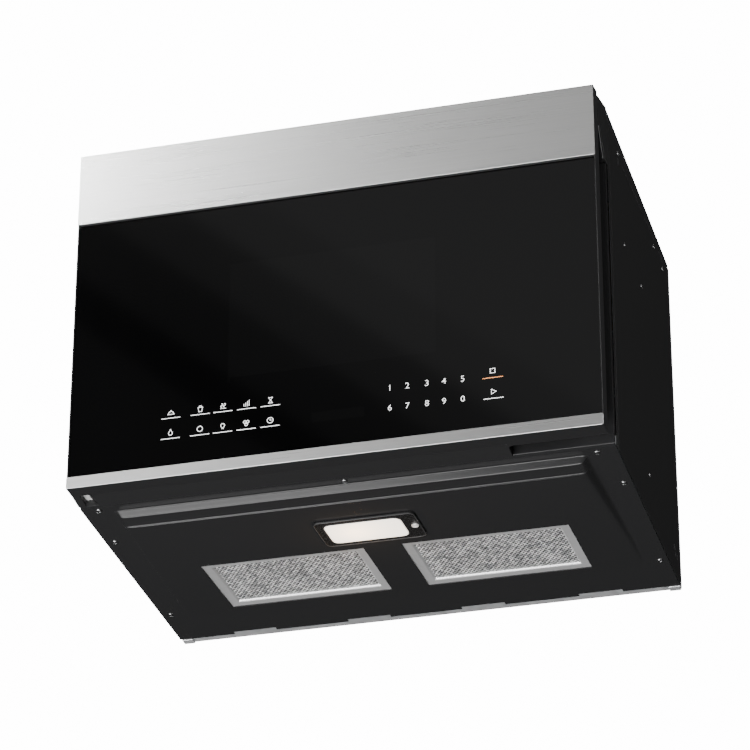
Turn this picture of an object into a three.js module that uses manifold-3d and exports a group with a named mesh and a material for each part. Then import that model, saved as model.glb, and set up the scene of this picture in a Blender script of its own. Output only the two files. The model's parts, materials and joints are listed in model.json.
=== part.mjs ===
// Over-the-range microwave oven with its cooktop hood, hung on a wall under a cabinet.
// Millimetres. While a piece is drawn, x runs to the right seen from the front, y runs back
// from the face of the door's metal trims, and z runs up from the underside of the case.
// The last group moves all of it so that the origin is the middle of the back panel's wall face.

import * as THREE from 'three';
import { mergeVertices } from 'three/addons/utils/BufferGeometryUtils.js';
import Module from 'manifold-3d';

const wasm = await Module();
wasm.setup();

// ---- Driving dimensions -------------------------------------------------------------------

// Case
const caseWidth = 606;
const caseHeight = 428;
const caseDepth = 421; // door face to the painted case's rear edge
const backPanelDepth = 13; // the bare back panel stands this far behind the case
const caseSheet = 1;
const seat = 0.3; // gap between two pieces that touch
const hemWidth = 12; // folded edges of the case sheets

// Door
const doorWidth = caseWidth - 6;
const doorThickness = 46;
const skinDepth = 22; // full-face front section of the door
const doorGap = 3; // door's back to the oven's front frame
const doorTop = caseHeight - 4;
const doorTopRise = 4; // the top slopes up towards its rear edge
const doorFoot = -1.5;
const doorHeel = -4; // the underside drops towards its rear edge
const doorWall = 3;
const latchSideInset = 9; // the door's body is this much narrower on the latch side
const bodyTopFront = caseHeight - 44; // slanted top of the door's body, at the skin
const bodyTopBack = caseHeight - 80; // and at the door's back
const bandHeight = 91;
const trimHeight = 14;
const trimSheet = 1;
const glassSetback = 4;
const glassThickness = 4;
const hingePinInset = 10; // hinge pin in from the door's left edge
const hingePinDepth = 28; // hinge pin back from the door's face
const hingePinRadius = 3;
const hingeArmSheet = 2;
const pocketWidth = 100; // finger pocket in the door's underside
const pocketHeight = 28;

// Oven cavity and what turns in it
const machineRoom = 103; // beside the oven, the same on both sides
const cavityWidth = caseWidth - 2 * machineRoom;
const cavityFloor = 92; // above the case's underside
const ventRoom = 106; // for the blower and duct, over the oven
const rearRoom = 83; // for the blower's air, behind the oven
const cavityHeight = caseHeight - cavityFloor - ventRoom;
const cavityDepth = caseDepth - rearRoom;
const cavitySheet = 1.2;
const trayRadius = 152;
const trayHeight = 16;
const trayGlass = 5;
const rollerRadius = 7.5;
const rollerTrack = 110;
const rollerWidth = 8;
const rollerCount = 3;
const shaftRadius = 3.5;

// Window in the door
const windowWidth = 236;
const windowHeight = 144;
const windowBottom = 112;

// Stamped tray of the base panel
const trayFront = 70;
const trayStep = 90;
const trayRear = caseDepth - 56;
const trayHalf = caseWidth / 2 - 31;
const trayShelfDrop = 10;
const trayDrop = 12;

// Hood lamp and grease filters, placed along the tilted tray
const lampWidth = 116;
const lampLength = 67;
const lampStart = 42; // from the tray's step
const lensWidth = 88;
const lensLength = 50;
const filterWidth = 192;
const filterStart = 129; // from the tray's step
const filterLength = trayRear - trayStep - filterStart - 19;
const filterGap = 44; // between the two filter openings
const filterHidden = 5; // filter frame under the opening's lip, on each side
const filterThickness = 8;
const filterBorder = 13;
const filterTravel = 7;

// Vent grille and duct over the oven
const grilleFront = 25;
const grilleLip = caseHeight - 40; // front foot of the slanted lip
const grilleFoot = caseHeight - 77;
const grilleWall = 2.5;
const ventFloor = caseHeight - 46;
const slatCount = 3;
const ribCount = 5;
const deflectorSheet = 2;
const carbonThickness = 14;

// Vent blower
const blowerDepth = caseDepth - 56; // shaft, back from the door's face
const wheelRadius = 37;
const wheelWidth = 54;
const bladeCount = 10;
const scrollStart = 41;
const scrollGrowth = 6;
const scrollWidth = 62;
const blowerSpread = 80; // shaft's middle to the middle of each scroll

// Magnetron cooling fan
const fanRadius = 42;
const fanBlades = 5;
const fanShaftRadius = 2.5;
const fanPlateDepth = caseDepth - 76;

// ---- Derived places -----------------------------------------------------------------------

const overallDepth = caseDepth + backPanelDepth;
const halfCase = caseWidth / 2;
const halfDoor = doorWidth / 2;
const innerCase = halfCase - caseSheet;
const frameFront = doorThickness + doorGap;
const frameBack = frameFront + caseSheet;
const wrapFront = frameFront + 9;
const bandFoot = doorTop - bandHeight;
const trimTop = doorFoot + trimHeight;
const pinX = -halfDoor + hingePinInset;
const bodyRight = halfDoor - latchSideInset;
const halfCavity = cavityWidth / 2;
const cavityTop = cavityFloor + cavityHeight;
const cavityFront = frameBack + seat;
const cavityBack = cavityFront + cavityDepth;
const cavityOuter = halfCavity + cavitySheet;
const ceilingTop = cavityTop + cavitySheet;
const turnDepth = cavityFront + cavityDepth / 2;
const latchX = halfCavity + 48;
const windowTop = windowBottom + windowHeight;
const halfWindow = windowWidth / 2;
const wheelAxis = ceilingTop + caseSheet + 2 * seat + scrollStart + scrollGrowth;
const trayTilt = Math.atan2(trayDrop, trayRear - trayStep);
const sideRoom = (cavityOuter + innerCase) / 2; // middle of the machine room beside the oven

// ---- Finishes -----------------------------------------------------------------------------

const looks = {
  blackPaint: { color: 0x1d1d1e, roughness: 0.45, metalness: 0.3 },
  blackPlastic: { color: 0x161617, roughness: 0.5, metalness: 0 },
  stainless: { color: 0xb9bab9, roughness: 0.3, metalness: 1 },
  darkGlass: { color: 0x060607, roughness: 0.06, metalness: 0 },
  zincSheet: { color: 0xb4b6b7, roughness: 0.4, metalness: 0.9 },
  zincScrew: { color: 0xd6d6d4, roughness: 0.25, metalness: 1 },
  enamel: { color: 0x8f8f8d, roughness: 0.35, metalness: 0.1 },
  aluminium: { color: 0xc9cacb, roughness: 0.35, metalness: 1 },
  clearGlass: { color: 0xdfe8e6, roughness: 0.05, metalness: 0 },
  lens: { color: 0xfff6e4, roughness: 0.3, metalness: 0 },
  whitePlastic: { color: 0xe6e4de, roughness: 0.5, metalness: 0 },
  copper: { color: 0xa35a2c, roughness: 0.4, metalness: 0.8 },
  core: { color: 0x4a4b4d, roughness: 0.6, metalness: 0.7 },
  board: { color: 0x9a7b3f, roughness: 0.6, metalness: 0 },
  carbon: { color: 0x101011, roughness: 0.95, metalness: 0 },
  mica: { color: 0xb9b1a0, roughness: 0.6, metalness: 0 },
  rubber: { color: 0x18181a, roughness: 0.85, metalness: 0 },
};

// ---- Solid modelling ----------------------------------------------------------------------

function solid(geometry) {
  geometry.deleteAttribute('normal');
  geometry.deleteAttribute('uv');
  const welded = mergeVertices(geometry, 1e-4);
  return new wasm.Manifold(new wasm.Mesh({
    numProp: 3,
    vertProperties: new Float32Array(welded.attributes.position.array),
    triVerts: new Uint32Array(welded.index.array),
  }));
}

function surface(body) {
  const { vertProperties, triVerts } = body.getMesh();
  const geometry = new THREE.BufferGeometry();
  geometry.setAttribute('position', new THREE.BufferAttribute(vertProperties, 3));
  geometry.setIndex(new THREE.BufferAttribute(triVerts, 1));
  geometry.computeVertexNormals();
  return geometry;
}

function join(first, ...others) {
  return others.reduce((whole, next) => whole.add(next), first);
}

function cut(first, ...tools) {
  return tools.reduce((rest, tool) => rest.subtract(tool), first);
}

function part(name, body, look) {
  const mesh = new THREE.Mesh(surface(body), new THREE.MeshStandardMaterial(looks[look]));
  mesh.name = name;
  return mesh;
}

// Moves each corner of a geometry to the place that a function gives for it.
function placed(geometry, place) {
  const points = geometry.attributes.position;
  for (let i = 0; i < points.count; i += 1) {
    points.setXYZ(i, ...place(points.getX(i), points.getY(i), points.getZ(i)));
  }
  return solid(geometry);
}

function block(x0, x1, y0, y1, z0, z1) {
  return placed(new THREE.BoxGeometry(2, 2, 2), (x, y, z) => [
    x > 0 ? x1 : x0, y > 0 ? y1 : y0, z > 0 ? z1 : z0]);
}

// A closed outline from [u, v] or [u, v, radius] corners.
function outline(corners) {
  const shape = new THREE.Shape();
  const places = corners.map(([u, v]) => new THREE.Vector2(u, v));
  corners.forEach(([, , radius = 0], i) => {
    const corner = places[i];
    const before = places[(i + corners.length - 1) % corners.length];
    const after = places[(i + 1) % corners.length];
    const enter = corner.clone().add(before.clone().sub(corner).setLength(radius));
    const leave = corner.clone().add(after.clone().sub(corner).setLength(radius));
    if (i === 0) shape.moveTo(enter.x, enter.y);
    else shape.lineTo(enter.x, enter.y);
    if (radius > 0) shape.quadraticCurveTo(corner.x, corner.y, leave.x, leave.y);
  });
  shape.closePath();
  return shape;
}

function rectangle(u0, u1, v0, v1, radius = 0) {
  return outline([[u0, v0, radius], [u1, v0, radius], [u1, v1, radius], [u0, v1, radius]]);
}

function slab(shape, curveSegments) {
  return new THREE.ExtrudeGeometry(shape, { depth: 1, bevelEnabled: false, curveSegments });
}

// A shape drawn in y, z and swept along x.
function alongX(shape, x0, x1, curveSegments = 3) {
  return placed(slab(shape, curveSegments), (u, v, end) => [end > 0.5 ? x1 : x0, u, v]);
}

// A shape drawn in x, z and swept along y.
function alongY(shape, y0, y1, curveSegments = 3) {
  return placed(slab(shape, curveSegments), (u, v, end) => [u, end > 0.5 ? y0 : y1, v]);
}

// A shape drawn in x, y and swept along z.
function alongZ(shape, z0, z1, curveSegments = 3) {
  return placed(slab(shape, curveSegments), (u, v, end) => [u, v, end > 0.5 ? z1 : z0]);
}

// A round bar from one point to another, tapered where a second radius is given.
function rod(from, to, radius, sides = 16, endRadius = radius) {
  const start = new THREE.Vector3(...from);
  const run = new THREE.Vector3(...to).sub(start);
  const geometry = new THREE.CylinderGeometry(endRadius, radius, run.length(), sides);
  geometry.translate(0, run.length() / 2, 0);
  const upright = new THREE.Vector3(0, 1, 0);
  geometry.applyQuaternion(new THREE.Quaternion().setFromUnitVectors(upright, run.normalize()));
  return solid(geometry.translate(...from));
}

// A revolved profile of [radius, height] points, about a vertical axis at x, y.
function turned(profile, x, y, steps) {
  const points = profile.map(([radius, height]) => new THREE.Vector2(radius, height));
  points.push(points[0].clone());
  const geometry = new THREE.LatheGeometry(points, steps);
  geometry.rotateX(Math.PI / 2);
  return solid(geometry.translate(x, y, 0));
}

// A closed skin through rings that have the same number of corners.
function loft(rings) {
  const size = rings[0].length;
  const places = rings.flat().map(([x, y, z]) => new THREE.Vector3(x, y, z));
  const faces = [];
  for (let r = 0; r + 1 < rings.length; r += 1) {
    for (let i = 0; i < size; i += 1) {
      const a = r * size + i;
      const b = r * size + ((i + 1) % size);
      faces.push([a, b, b + size], [a, b + size, a + size]);
    }
  }
  const last = (rings.length - 1) * size;
  for (let i = 1; i + 1 < size; i += 1) {
    faces.push([0, i + 1, i], [last, last + i, last + i + 1]);
  }
  const volume = faces.reduce((sum, [a, b, c]) => (
    sum + places[a].dot(places[b].clone().cross(places[c]))), 0);
  const outward = volume > 0 ? faces : faces.map(([a, b, c]) => [a, c, b]);
  const geometry = new THREE.BufferGeometry();
  geometry.setAttribute('position', new THREE.Float32BufferAttribute(
    places.flatMap((p) => [p.x, p.y, p.z]), 3));
  geometry.setIndex(outward.flat());
  return solid(geometry);
}

function evenly(count, first, last) {
  return Array.from({ length: count }, (_, i) => first + ((last - first) * i) / (count - 1));
}

// ---- Case ---------------------------------------------------------------------------------

// Top and both sides, folded from one painted sheet.
const outletFoot = caseHeight - 92; // rear outlet, the same width as the one in the top
const outletTop = caseHeight - 14;
const exhaustHalf = 130;
const exhaustFront = caseDepth - 91;
const exhaustBack = caseDepth - 9;
const boltSpacing = 430; // between the two bolts up into the cabinet
const boltDepth = 150;
const boltHoleRadius = 5;
const cordHoleX = halfCase - 58;
const cordHoleY = caseDepth - 33;
const cordHoleRadius = 11;
const frontBead = 8; // pressed line behind the case's front edge

function outerCase() {
  const flangeFoot = caseSheet + seat;
  const flangeTop = flangeFoot + caseSheet;
  const fold = innerCase - hemWidth;
  const skin = alongY(outline([
    [-halfCase, 0], [-halfCase, caseHeight, 3], [halfCase, caseHeight, 3], [halfCase, 0],
    [innerCase, 0], [innerCase, flangeFoot], [fold, flangeFoot], [fold, flangeTop],
    [innerCase, flangeTop], [innerCase, caseHeight - caseSheet],
    [-innerCase, caseHeight - caseSheet], [-innerCase, flangeTop], [-fold, flangeTop],
    [-fold, flangeFoot], [-innerCase, flangeFoot], [-innerCase, 0],
  ]), wrapFront, caseDepth);
  const above = caseHeight + 5;
  const below = caseHeight - 5;
  const holes = [
    block(-exhaustHalf, exhaustHalf, exhaustFront, exhaustBack, below, above),
    rod([cordHoleX, cordHoleY, below], [cordHoleX, cordHoleY, above], cordHoleRadius, 16),
    rod([-boltSpacing / 2, boltDepth, below], [-boltSpacing / 2, boltDepth, above], boltHoleRadius, 12),
    rod([boltSpacing / 2, boltDepth, below], [boltSpacing / 2, boltDepth, above], boltHoleRadius, 12),
  ];
  const beadDepth = 0.5;
  const beadStart = wrapFront + frontBead;
  const beads = [-1, 1].map((side) => {
    const near = side * (halfCase - beadDepth);
    const far = side * (halfCase + 1);
    return block(Math.min(near, far), Math.max(near, far), beadStart, beadStart + 1.6, -1, above);
  });
  const duct = [-1, 1].flatMap((side) => ductSeam(side, beadDepth));
  return part('outer_case', cut(skin, ...holes, ...beads, ...duct), 'blackPaint');
}

// Pressed lines where the vent duct's shell meets the side sheet.
function ductSeam(side, depth) {
  const runs = [[[148, 26.5], [331, 17.5]], [[360, 16], [387, 20.5]]];
  const near = side * (halfCase - depth);
  const far = side * (halfCase + 1);
  const line = 1.8;
  return runs.map(([[y0, under0], [y1, under1]]) => {
    const z0 = caseHeight - under0;
    const z1 = caseHeight - under1;
    return alongX(outline([[y0, z0], [y1, z1], [y1, z1 + line], [y0, z0 + line]]),
      Math.min(near, far), Math.max(near, far));
  });
}

// The stamped base: a flat rim round a shallow tray, deep at the front and level at the rear.
const trayStations = [
  { y: trayFront, drop: 0, half: trayHalf - 9 },
  { y: trayFront + 3.5, drop: trayShelfDrop - 1.5, half: trayHalf - 6 },
  { y: trayFront + 5, drop: trayShelfDrop, half: trayHalf - 5 },
  { y: trayStep - 1, drop: trayShelfDrop - 0.8, half: trayHalf - 3 },
  { y: trayStep + 0.5, drop: trayDrop, half: trayHalf - 2 },
  { y: trayRear, drop: 0, half: trayHalf },
];

function trayForm(inset, rise) {
  const draft = 3;
  return loft(trayStations.map(({ y, drop, half }, i) => {
    const rear = i === trayStations.length - 1;
    const place = rear ? y - inset : y + inset;
    const lip = rise + caseSheet / 2;
    const foot = rise - drop;
    return [
      [-half - draft + inset, place, lip], [-half + inset, place, foot],
      [half - inset, place, foot], [half + draft - inset, place, lip],
    ];
  }));
}

// Height of the tray's underside at a depth behind its step.
function trayUnderside(y) {
  return (-trayDrop * (trayRear - y)) / (trayRear - trayStep);
}

function filterOpening(side, spread, y0, y1, z0, z1) {
  const near = filterGap / 2 - spread;
  const far = filterGap / 2 + filterWidth + spread;
  return block(Math.min(side * near, side * far), Math.max(side * near, side * far), y0, y1, z0, z1);
}

const hookSlots = [-209, -69, 69, 209]; // the wall plate's hooks
const hookSlotWidth = 40;
const hookSlotTop = 16;

function basePanel() {
  const rim = block(-innerCase + seat, innerCase - seat, frameFront, caseDepth, 0, caseSheet);
  const lip = block(-innerCase + seat, innerCase - seat, frameFront, frameBack, 0, hemWidth);
  const pressed = cut(join(rim, trayForm(0, 0)), trayForm(caseSheet, caseSheet));
  const lampHole = alongZ(rectangle(
    -lampWidth / 2 + 3, lampWidth / 2 - 3,
    trayStep + lampStart + 3, trayStep + lampStart + lampLength - 3, 5), -20, 20);
  const filterFront = trayStep + filterStart;
  const filterHoles = [-1, 1].map((side) => filterOpening(
    side, 0, filterFront, filterFront + filterLength, -20, 20));
  const armHole = block(pinX - hingeArmHalf - 1, pinX + hingeArmHalf + 1, 0, frameBack + 1,
    hingeArmHeights[0] - 1, hingeArmHeights[0] + hingeArmSheet + 1);
  const notches = hookSlots.map((x) => block(
    x - hookSlotWidth / 2 - 6, x + hookSlotWidth / 2 + 6, caseDepth - 6, caseDepth + 5, -5, 5));
  return part('base_panel', cut(join(pressed, lip), lampHole, ...filterHoles, ...notches, armHole),
    'blackPaint');
}

// The bare pan against the wall, with ribs pressed inwards and slots for the wall plate's hooks.
const ribHeight = 3;
const panLap = 14; // flange lapped into the case
function backPanel() {
  const back = overallDepth;
  const lapFront = caseDepth - panLap;
  const foot = caseSheet + seat;
  const top = caseHeight - caseSheet - seat;
  const side = innerCase - seat;
  const pan = cut(
    block(-side, side, lapFront, back, foot, top),
    block(-side + caseSheet, side - caseSheet, 0, back - caseSheet, foot + caseSheet, top - caseSheet));
  const foldRoom = [-1, 1].map((dir) => block(
    Math.min(dir * (side - hemWidth), dir * (side + 5)), Math.max(dir * (side - hemWidth), dir * (side + 5)),
    0, caseDepth + seat, -5, foot + 3));
  const ribs = [-200, 200].map((x) => loft([
    rib(x, 14, back - caseSheet / 2), rib(x, 9, back - caseSheet - ribHeight)]));
  const ribHollows = [-200, 200].map((x) => loft([
    rib(x, 13, back + 1), rib(x, 8, back - ribHeight)]));
  const slots = hookSlots.map((x) => block(
    x - hookSlotWidth / 2, x + hookSlotWidth / 2, back - 3, back + 5, foot + caseSheet, hookSlotTop));
  const outlet = block(-exhaustHalf, exhaustHalf, back - 5, back + 5, outletFoot, outletTop);
  return part('back_panel', cut(join(pan, ...ribs), ...foldRoom, ...ribHollows, ...slots, outlet),
    'zincSheet');
}

function rib(x, half, y) {
  const lengthways = half + 120;
  return [
    [x - half, y, 200 - lengthways], [x + half, y, 200 - lengthways],
    [x + half, y, 200 + lengthways], [x - half, y, 200 + lengthways],
  ];
}

// Plates that close the two outlets while the hood returns air to the room.
function outletPlates() {
  const lap = 6;
  const under = caseHeight - caseSheet - seat;
  const inside = overallDepth - caseSheet - seat;
  const top = block(-exhaustHalf - lap, exhaustHalf + lap, exhaustFront - lap, caseDepth - 15,
    under - caseSheet, under);
  const rear = block(-exhaustHalf - lap, exhaustHalf + lap, inside - caseSheet, inside,
    outletFoot - lap, outletTop + lap);
  return [part('top_outlet_plate', top, 'zincSheet'), part('rear_outlet_plate', rear, 'zincSheet')];
}

function cordGland() {
  const wall = 2;
  const grip = 1.6;
  const low = caseHeight - caseSheet;
  const outer = cordHoleRadius - seat;
  const ring = turned([
    [outer - wall - 1, low - 3], [outer + 3, low - 3], [outer + 3, low - seat],
    [outer, low - seat], [outer, caseHeight + seat], [outer + 2, caseHeight + seat],
    [outer + 2, caseHeight + grip], [outer - wall - 1, caseHeight + grip],
  ], cordHoleX, cordHoleY, 16);
  return part('cord_gland', ring, 'rubber');
}

// ---- Vent grille and duct -----------------------------------------------------------------

const grilleBack = wrapFront - seat;
const hingeRelief = 24; // the grille stops short of the door's swinging corner
const lipRun = 22;

function grilleRings(wall) {
  const share = (y) => (y - grilleFront) / (grilleBack - grilleFront);
  const topAt = (y) => doorTop + 0.7 + (caseHeight - doorTop - 0.7) * share(y);
  const halfAt = (y) => Math.min(halfCase, halfDoor + (halfCase - halfDoor) * share(y));
  const stations = [
    [grilleFront, grilleLip + 4], [grilleFront + 3, grilleLip],
    [grilleFront + 3 + lipRun, grilleFoot + 4], [grilleBack, grilleFoot],
  ];
  return stations.map(([y, z], i) => {
    const first = i === 0 ? wall : 0;
    const place = i === stations.length - 1 && wall > 0 ? y + 1 : y + first;
    return [
      [-halfAt(y) + wall, place, z + wall * 1.3], [halfAt(y) - wall, place, z + wall * 1.3],
      [halfAt(y) - wall, place, topAt(y) - wall], [-halfAt(y) + wall, place, topAt(y) - wall],
    ];
  });
}

function ventGrille() {
  const outer = loft(grilleRings(0));
  const inner = loft(grilleRings(grilleWall));
  const relief = -halfDoor + hingeRelief;
  const deep = doorThickness + 1;
  const swing = block(-halfCase - 5, relief, grilleFront - 5, deep, grilleFoot - 5, caseHeight + 5);
  const endWall = block(-halfCase - 5, relief + grilleWall, grilleFront - 5, deep + grilleWall,
    grilleFoot - 5, caseHeight + 5);
  const room = cut(inner, endWall);
  const mouthFront = grilleFront + 4;
  const mouthBack = grilleBack - 4;
  const mouthLeft = relief + 8;
  const mouthRight = halfDoor - 12;
  const mouth = block(mouthLeft, mouthRight, mouthFront, mouthBack, ventFloor + 10, caseHeight + 5);
  const slats = evenly(slatCount, mouthFront + 6, mouthBack - 6).map(
    (y) => slat(y, mouthLeft, mouthRight));
  const ribs = evenly(ribCount + 2, mouthLeft, mouthRight).slice(1, -1).map((x) => block(
    x - 1.2, x + 1.2, mouthFront - 1, mouthBack + 1, caseHeight - 14, caseHeight));
  const shelf = block(relief + 1, halfDoor - 1, grilleFront + 8, grilleBack, ventFloor - 2, ventFloor);
  const core = join(shelf, ...slats, ...ribs).intersect(outer);
  return part('vent_grille', cut(join(cut(outer, room, mouth), core), swing), 'blackPlastic');
}

// One long louvre, leaning forward so that the air leaves over the door.
function slat(y, x0, x1) {
  const lean = 3.5;
  const top = caseHeight - 1.5;
  const foot = caseHeight - 13;
  return alongX(outline([
    [y - lean, top], [y - lean + 1.6, top + 1], [y + 1, (top + foot) / 2 + 1],
    [y + lean + 1.6, foot], [y + lean, foot - 0.6], [y - 0.6, (top + foot) / 2],
  ]), x0 - 1, x1 + 1);
}

// Bare steel plate under the grille's slanted lip: its end shows as a bright line by the door.
function ventDeflector() {
  const y0 = grilleFront + 3;
  const run = new THREE.Vector2(lipRun, grilleFoot + 4 - grilleLip);
  const normal = new THREE.Vector2(run.y, -run.x).normalize();
  const at = (share, off) => [
    y0 + run.x * share + normal.x * off, grilleLip + run.y * share + normal.y * off];
  const strip = outline([
    at(0.02, seat), at(0.96, seat), at(0.96, seat + deflectorSheet), at(0.02, seat + deflectorSheet)]);
  const left = -halfDoor + hingeRelief + 1;
  return part('vent_deflector', alongX(strip, left, halfDoor - 0.6), 'zincSheet');
}

// Sheet duct over the oven, from the blower's outlets to the grille.
const ductFront = wrapFront + 2;
const ductBack = blowerDepth - wheelRadius - 14;
function exhaustDuct() {
  const wide = halfDoor - 12;
  const narrow = blowerSpread + scrollWidth / 2 + 4;
  const top = caseHeight - caseSheet - seat;
  const bend = ductFront + 60;
  const corners = [[-wide, ductFront], [wide, ductFront], [wide, bend], [narrow, ductBack],
    [-narrow, ductBack], [-wide, bend]];
  const floor = alongZ(outline(corners), ventFloor, ventFloor + caseSheet);
  const inset = corners.map(([x, y]) => [x - Math.sign(x) * caseSheet, y === ductBack ? y + 5 : y]);
  inset[0][1] -= 5;
  inset[1][1] -= 5;
  const walls = cut(
    alongZ(outline(corners), ventFloor, top),
    alongZ(outline(inset), ventFloor - 1, top + 1));
  const legFoot = ceilingTop + seat;
  const legHalf = 8;
  const legPlaces = [ductBack - 40, bend + 10].flatMap((y) => [[-150, y], [150, y]]);
  const legs = legPlaces.map(([x, y]) => join(
    block(x - legHalf, x + legHalf, y - caseSheet / 2, y + caseSheet / 2, legFoot, ventFloor + 0.5),
    block(x - legHalf, x + legHalf, y, y + 12, legFoot, legFoot + caseSheet)));
  return part('exhaust_duct', join(floor, walls, ...legs), 'zincSheet');
}

// Carbon cartridge that stands in the duct behind the grille.
function carbonFilter() {
  const half = halfDoor - 22;
  const front = ductFront + 4;
  const back = front + carbonThickness;
  const foot = ventFloor + caseSheet + seat;
  const top = caseHeight - caseSheet - 2 * seat;
  const frame = block(-half, half, front, back, foot, top);
  const cells = evenly(11, -half + 26, half - 26).map((x) => block(
    x - 20, x + 20, front - 1, front + 3, foot + 5, top - 5));
  return part('carbon_filter', cut(frame, ...cells), 'carbon');
}

// ---- Oven ---------------------------------------------------------------------------------

const latchHeights = [cavityFloor + 40, cavityTop - 30];
const hookThickness = 6;
const hookReach = 22;
const hookHead = 7;
const latchSlotWidth = 14;
const latchSlotHeight = 26;
const frameTop = grilleFoot - seat - 0.7;
const hingeArmHeights = [4, grilleFoot - 13];
const hingeArmHalf = 6;

function latchSlots() {
  return latchHeights.map((z) => block(
    latchX - latchSlotWidth / 2, latchX + latchSlotWidth / 2, 0, 100,
    z - latchSlotHeight / 2, z + latchSlotHeight / 2));
}

function frontFrame() {
  const side = innerCase - seat;
  const foot = hemWidth + seat;
  const back = wrapFront - 1.5;
  const plate = cut(
    block(-side, side, frameFront, back, foot, frameTop),
    block(-side + caseSheet, side - caseSheet, frameBack, back + 5, foot - 5, frameTop - caseSheet));
  const mouth = alongY(rectangle(-halfCavity, halfCavity, cavityFloor, cavityTop, 6), 0, 100);
  const armZ = hingeArmHeights[1];
  const armSlot = block(pinX - hingeArmHalf - 1, pinX + hingeArmHalf + 1, 0, frameBack + 1,
    armZ - 1, armZ + hingeArmSheet + 1);
  return part('front_frame', cut(plate, mouth, ...latchSlots(), armSlot), 'blackPaint');
}

function cavityLiner() {
  const flange = 16;
  const outer = block(-cavityOuter, cavityOuter, cavityFront, cavityBack + cavitySheet,
    cavityFloor - cavitySheet, ceilingTop);
  const inner = alongY(rectangle(-halfCavity, halfCavity, cavityFloor, cavityTop, 6),
    cavityFront - 5, cavityBack);
  const rim = block(-halfCavity - flange, halfCavity + flange, cavityFront, cavityFront + cavitySheet,
    cavityFloor - flange, cavityTop + flange);
  const shaftHole = rod([0, turnDepth, cavityFloor - 5], [0, turnDepth, cavityFloor + 5],
    shaftRadius + 2.5, 16);
  const feed = block(halfCavity - 5, halfCavity + 5, feedFront, feedBack, feedFoot, feedTop);
  const lampHoles = evenly(4, 60, 90).flatMap((dy) => [36, 24].map((under) => rod(
    [-halfCavity - 5, cavityFront + dy, cavityTop - under],
    [-halfCavity + 5, cavityFront + dy, cavityTop - under], 2.5, 6)));
  return part('cavity_liner', cut(join(outer, rim), inner, shaftHole, feed, ...lampHoles), 'enamel');
}

const feedHigh = 28;
const feedLong = 88;
const feedFoot = cavityTop - 38;
const feedTop = feedFoot + feedHigh;
const feedBack = cavityBack - 68.3;
const feedFront = feedBack - feedLong;

function waveguideCover() {
  const lap = 8;
  const plate = block(halfCavity - seat - 0.7, halfCavity - seat, feedFront - lap, feedBack + lap,
    feedFoot - lap, feedTop + lap - 3);
  return part('waveguide_cover', plate, 'mica');
}

// Rectangular duct from the magnetron's antenna to the oven's side wall.
const guideWall = 1.2;
const guideReach = 88;
function waveguide() {
  const near = cavityOuter + seat;
  const far = near + guideReach;
  const low = feedFoot - guideWall;
  const high = feedTop + guideWall;
  const shell = block(near, far, feedFront - guideWall, feedBack + guideWall, low, high);
  const room = block(near - 1, far - guideWall, feedFront, feedBack, feedFoot, feedTop);
  const antennaHole = onMagnetron(low - 1, feedFoot + 1, 12, 16);
  return part('waveguide', cut(shell, room, antennaHole), 'zincSheet');
}

const magnetronX = cavityOuter + 50;
const magnetronY = (feedFront + feedBack) / 2;
const finCount = 5;

// An upright bar on the magnetron's axis.
function onMagnetron(z0, z1, radius, sides = 12) {
  return rod([magnetronX, magnetronY, z0], [magnetronX, magnetronY, z1], radius, sides);
}

function magnetron() {
  const top = feedFoot - guideWall - seat;
  const yokeWide = 40;
  const yokeDeep = 44;
  const yokeHigh = 70;
  const yoke = cut(
    block(magnetronX - yokeWide, magnetronX + yokeWide, magnetronY - yokeDeep, magnetronY + yokeDeep,
      top - yokeHigh, top),
    block(magnetronX - yokeWide + 2, magnetronX + yokeWide - 2,
      magnetronY - yokeDeep - 1, magnetronY + yokeDeep + 1, top - yokeHigh + 2, top - 2));
  const anode = onMagnetron(top - yokeHigh + 1, top - 1, 19);
  const fins = evenly(finCount, top - yokeHigh + 18, top - 18).map((z) => block(
    magnetronX - yokeWide + 1, magnetronX + yokeWide - 1, magnetronY - 32, magnetronY + 32,
    z - 0.5, z + 0.5));
  const magnets = [top - yokeHigh + 2, top - 14].map((z) => onMagnetron(z - 1, z + 12, 27));
  const antenna = onMagnetron(top - 2, top + 20, 8);
  const filterBox = block(magnetronX - 30, magnetronX + 30, magnetronY - 22, magnetronY + 22,
    top - yokeHigh - 34, top - yokeHigh + 1);
  return part('magnetron', join(yoke, anode, ...fins, ...magnets, antenna, filterBox), 'zincSheet');
}

// Plate above the base that carries the heavy parts of the machine room.
const chassisHeight = 13;
const chassisBack = 208;
function chassisPlate() {
  const side = innerCase - seat;
  const foot = 2 * caseSheet + 2 * seat;
  const plate = block(-side, side, wrapFront + seat, chassisBack, chassisHeight, chassisHeight + caseSheet);
  const rims = [-1, 1].map((dir) => block(
    Math.min(dir * side, dir * (side - caseSheet)), Math.max(dir * side, dir * (side - caseSheet)),
    wrapFront + seat, chassisBack, foot, chassisHeight + 0.5));
  const lampRoom = block(-lampWidth / 2 - 8, lampWidth / 2 + 8, trayStep + lampStart - 8,
    chassisBack + 5, -20, 40);
  return part('chassis_plate', cut(join(plate, ...rims), lampRoom), 'zincSheet');
}

const chassisTop = chassisHeight + caseSheet + seat;

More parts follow.
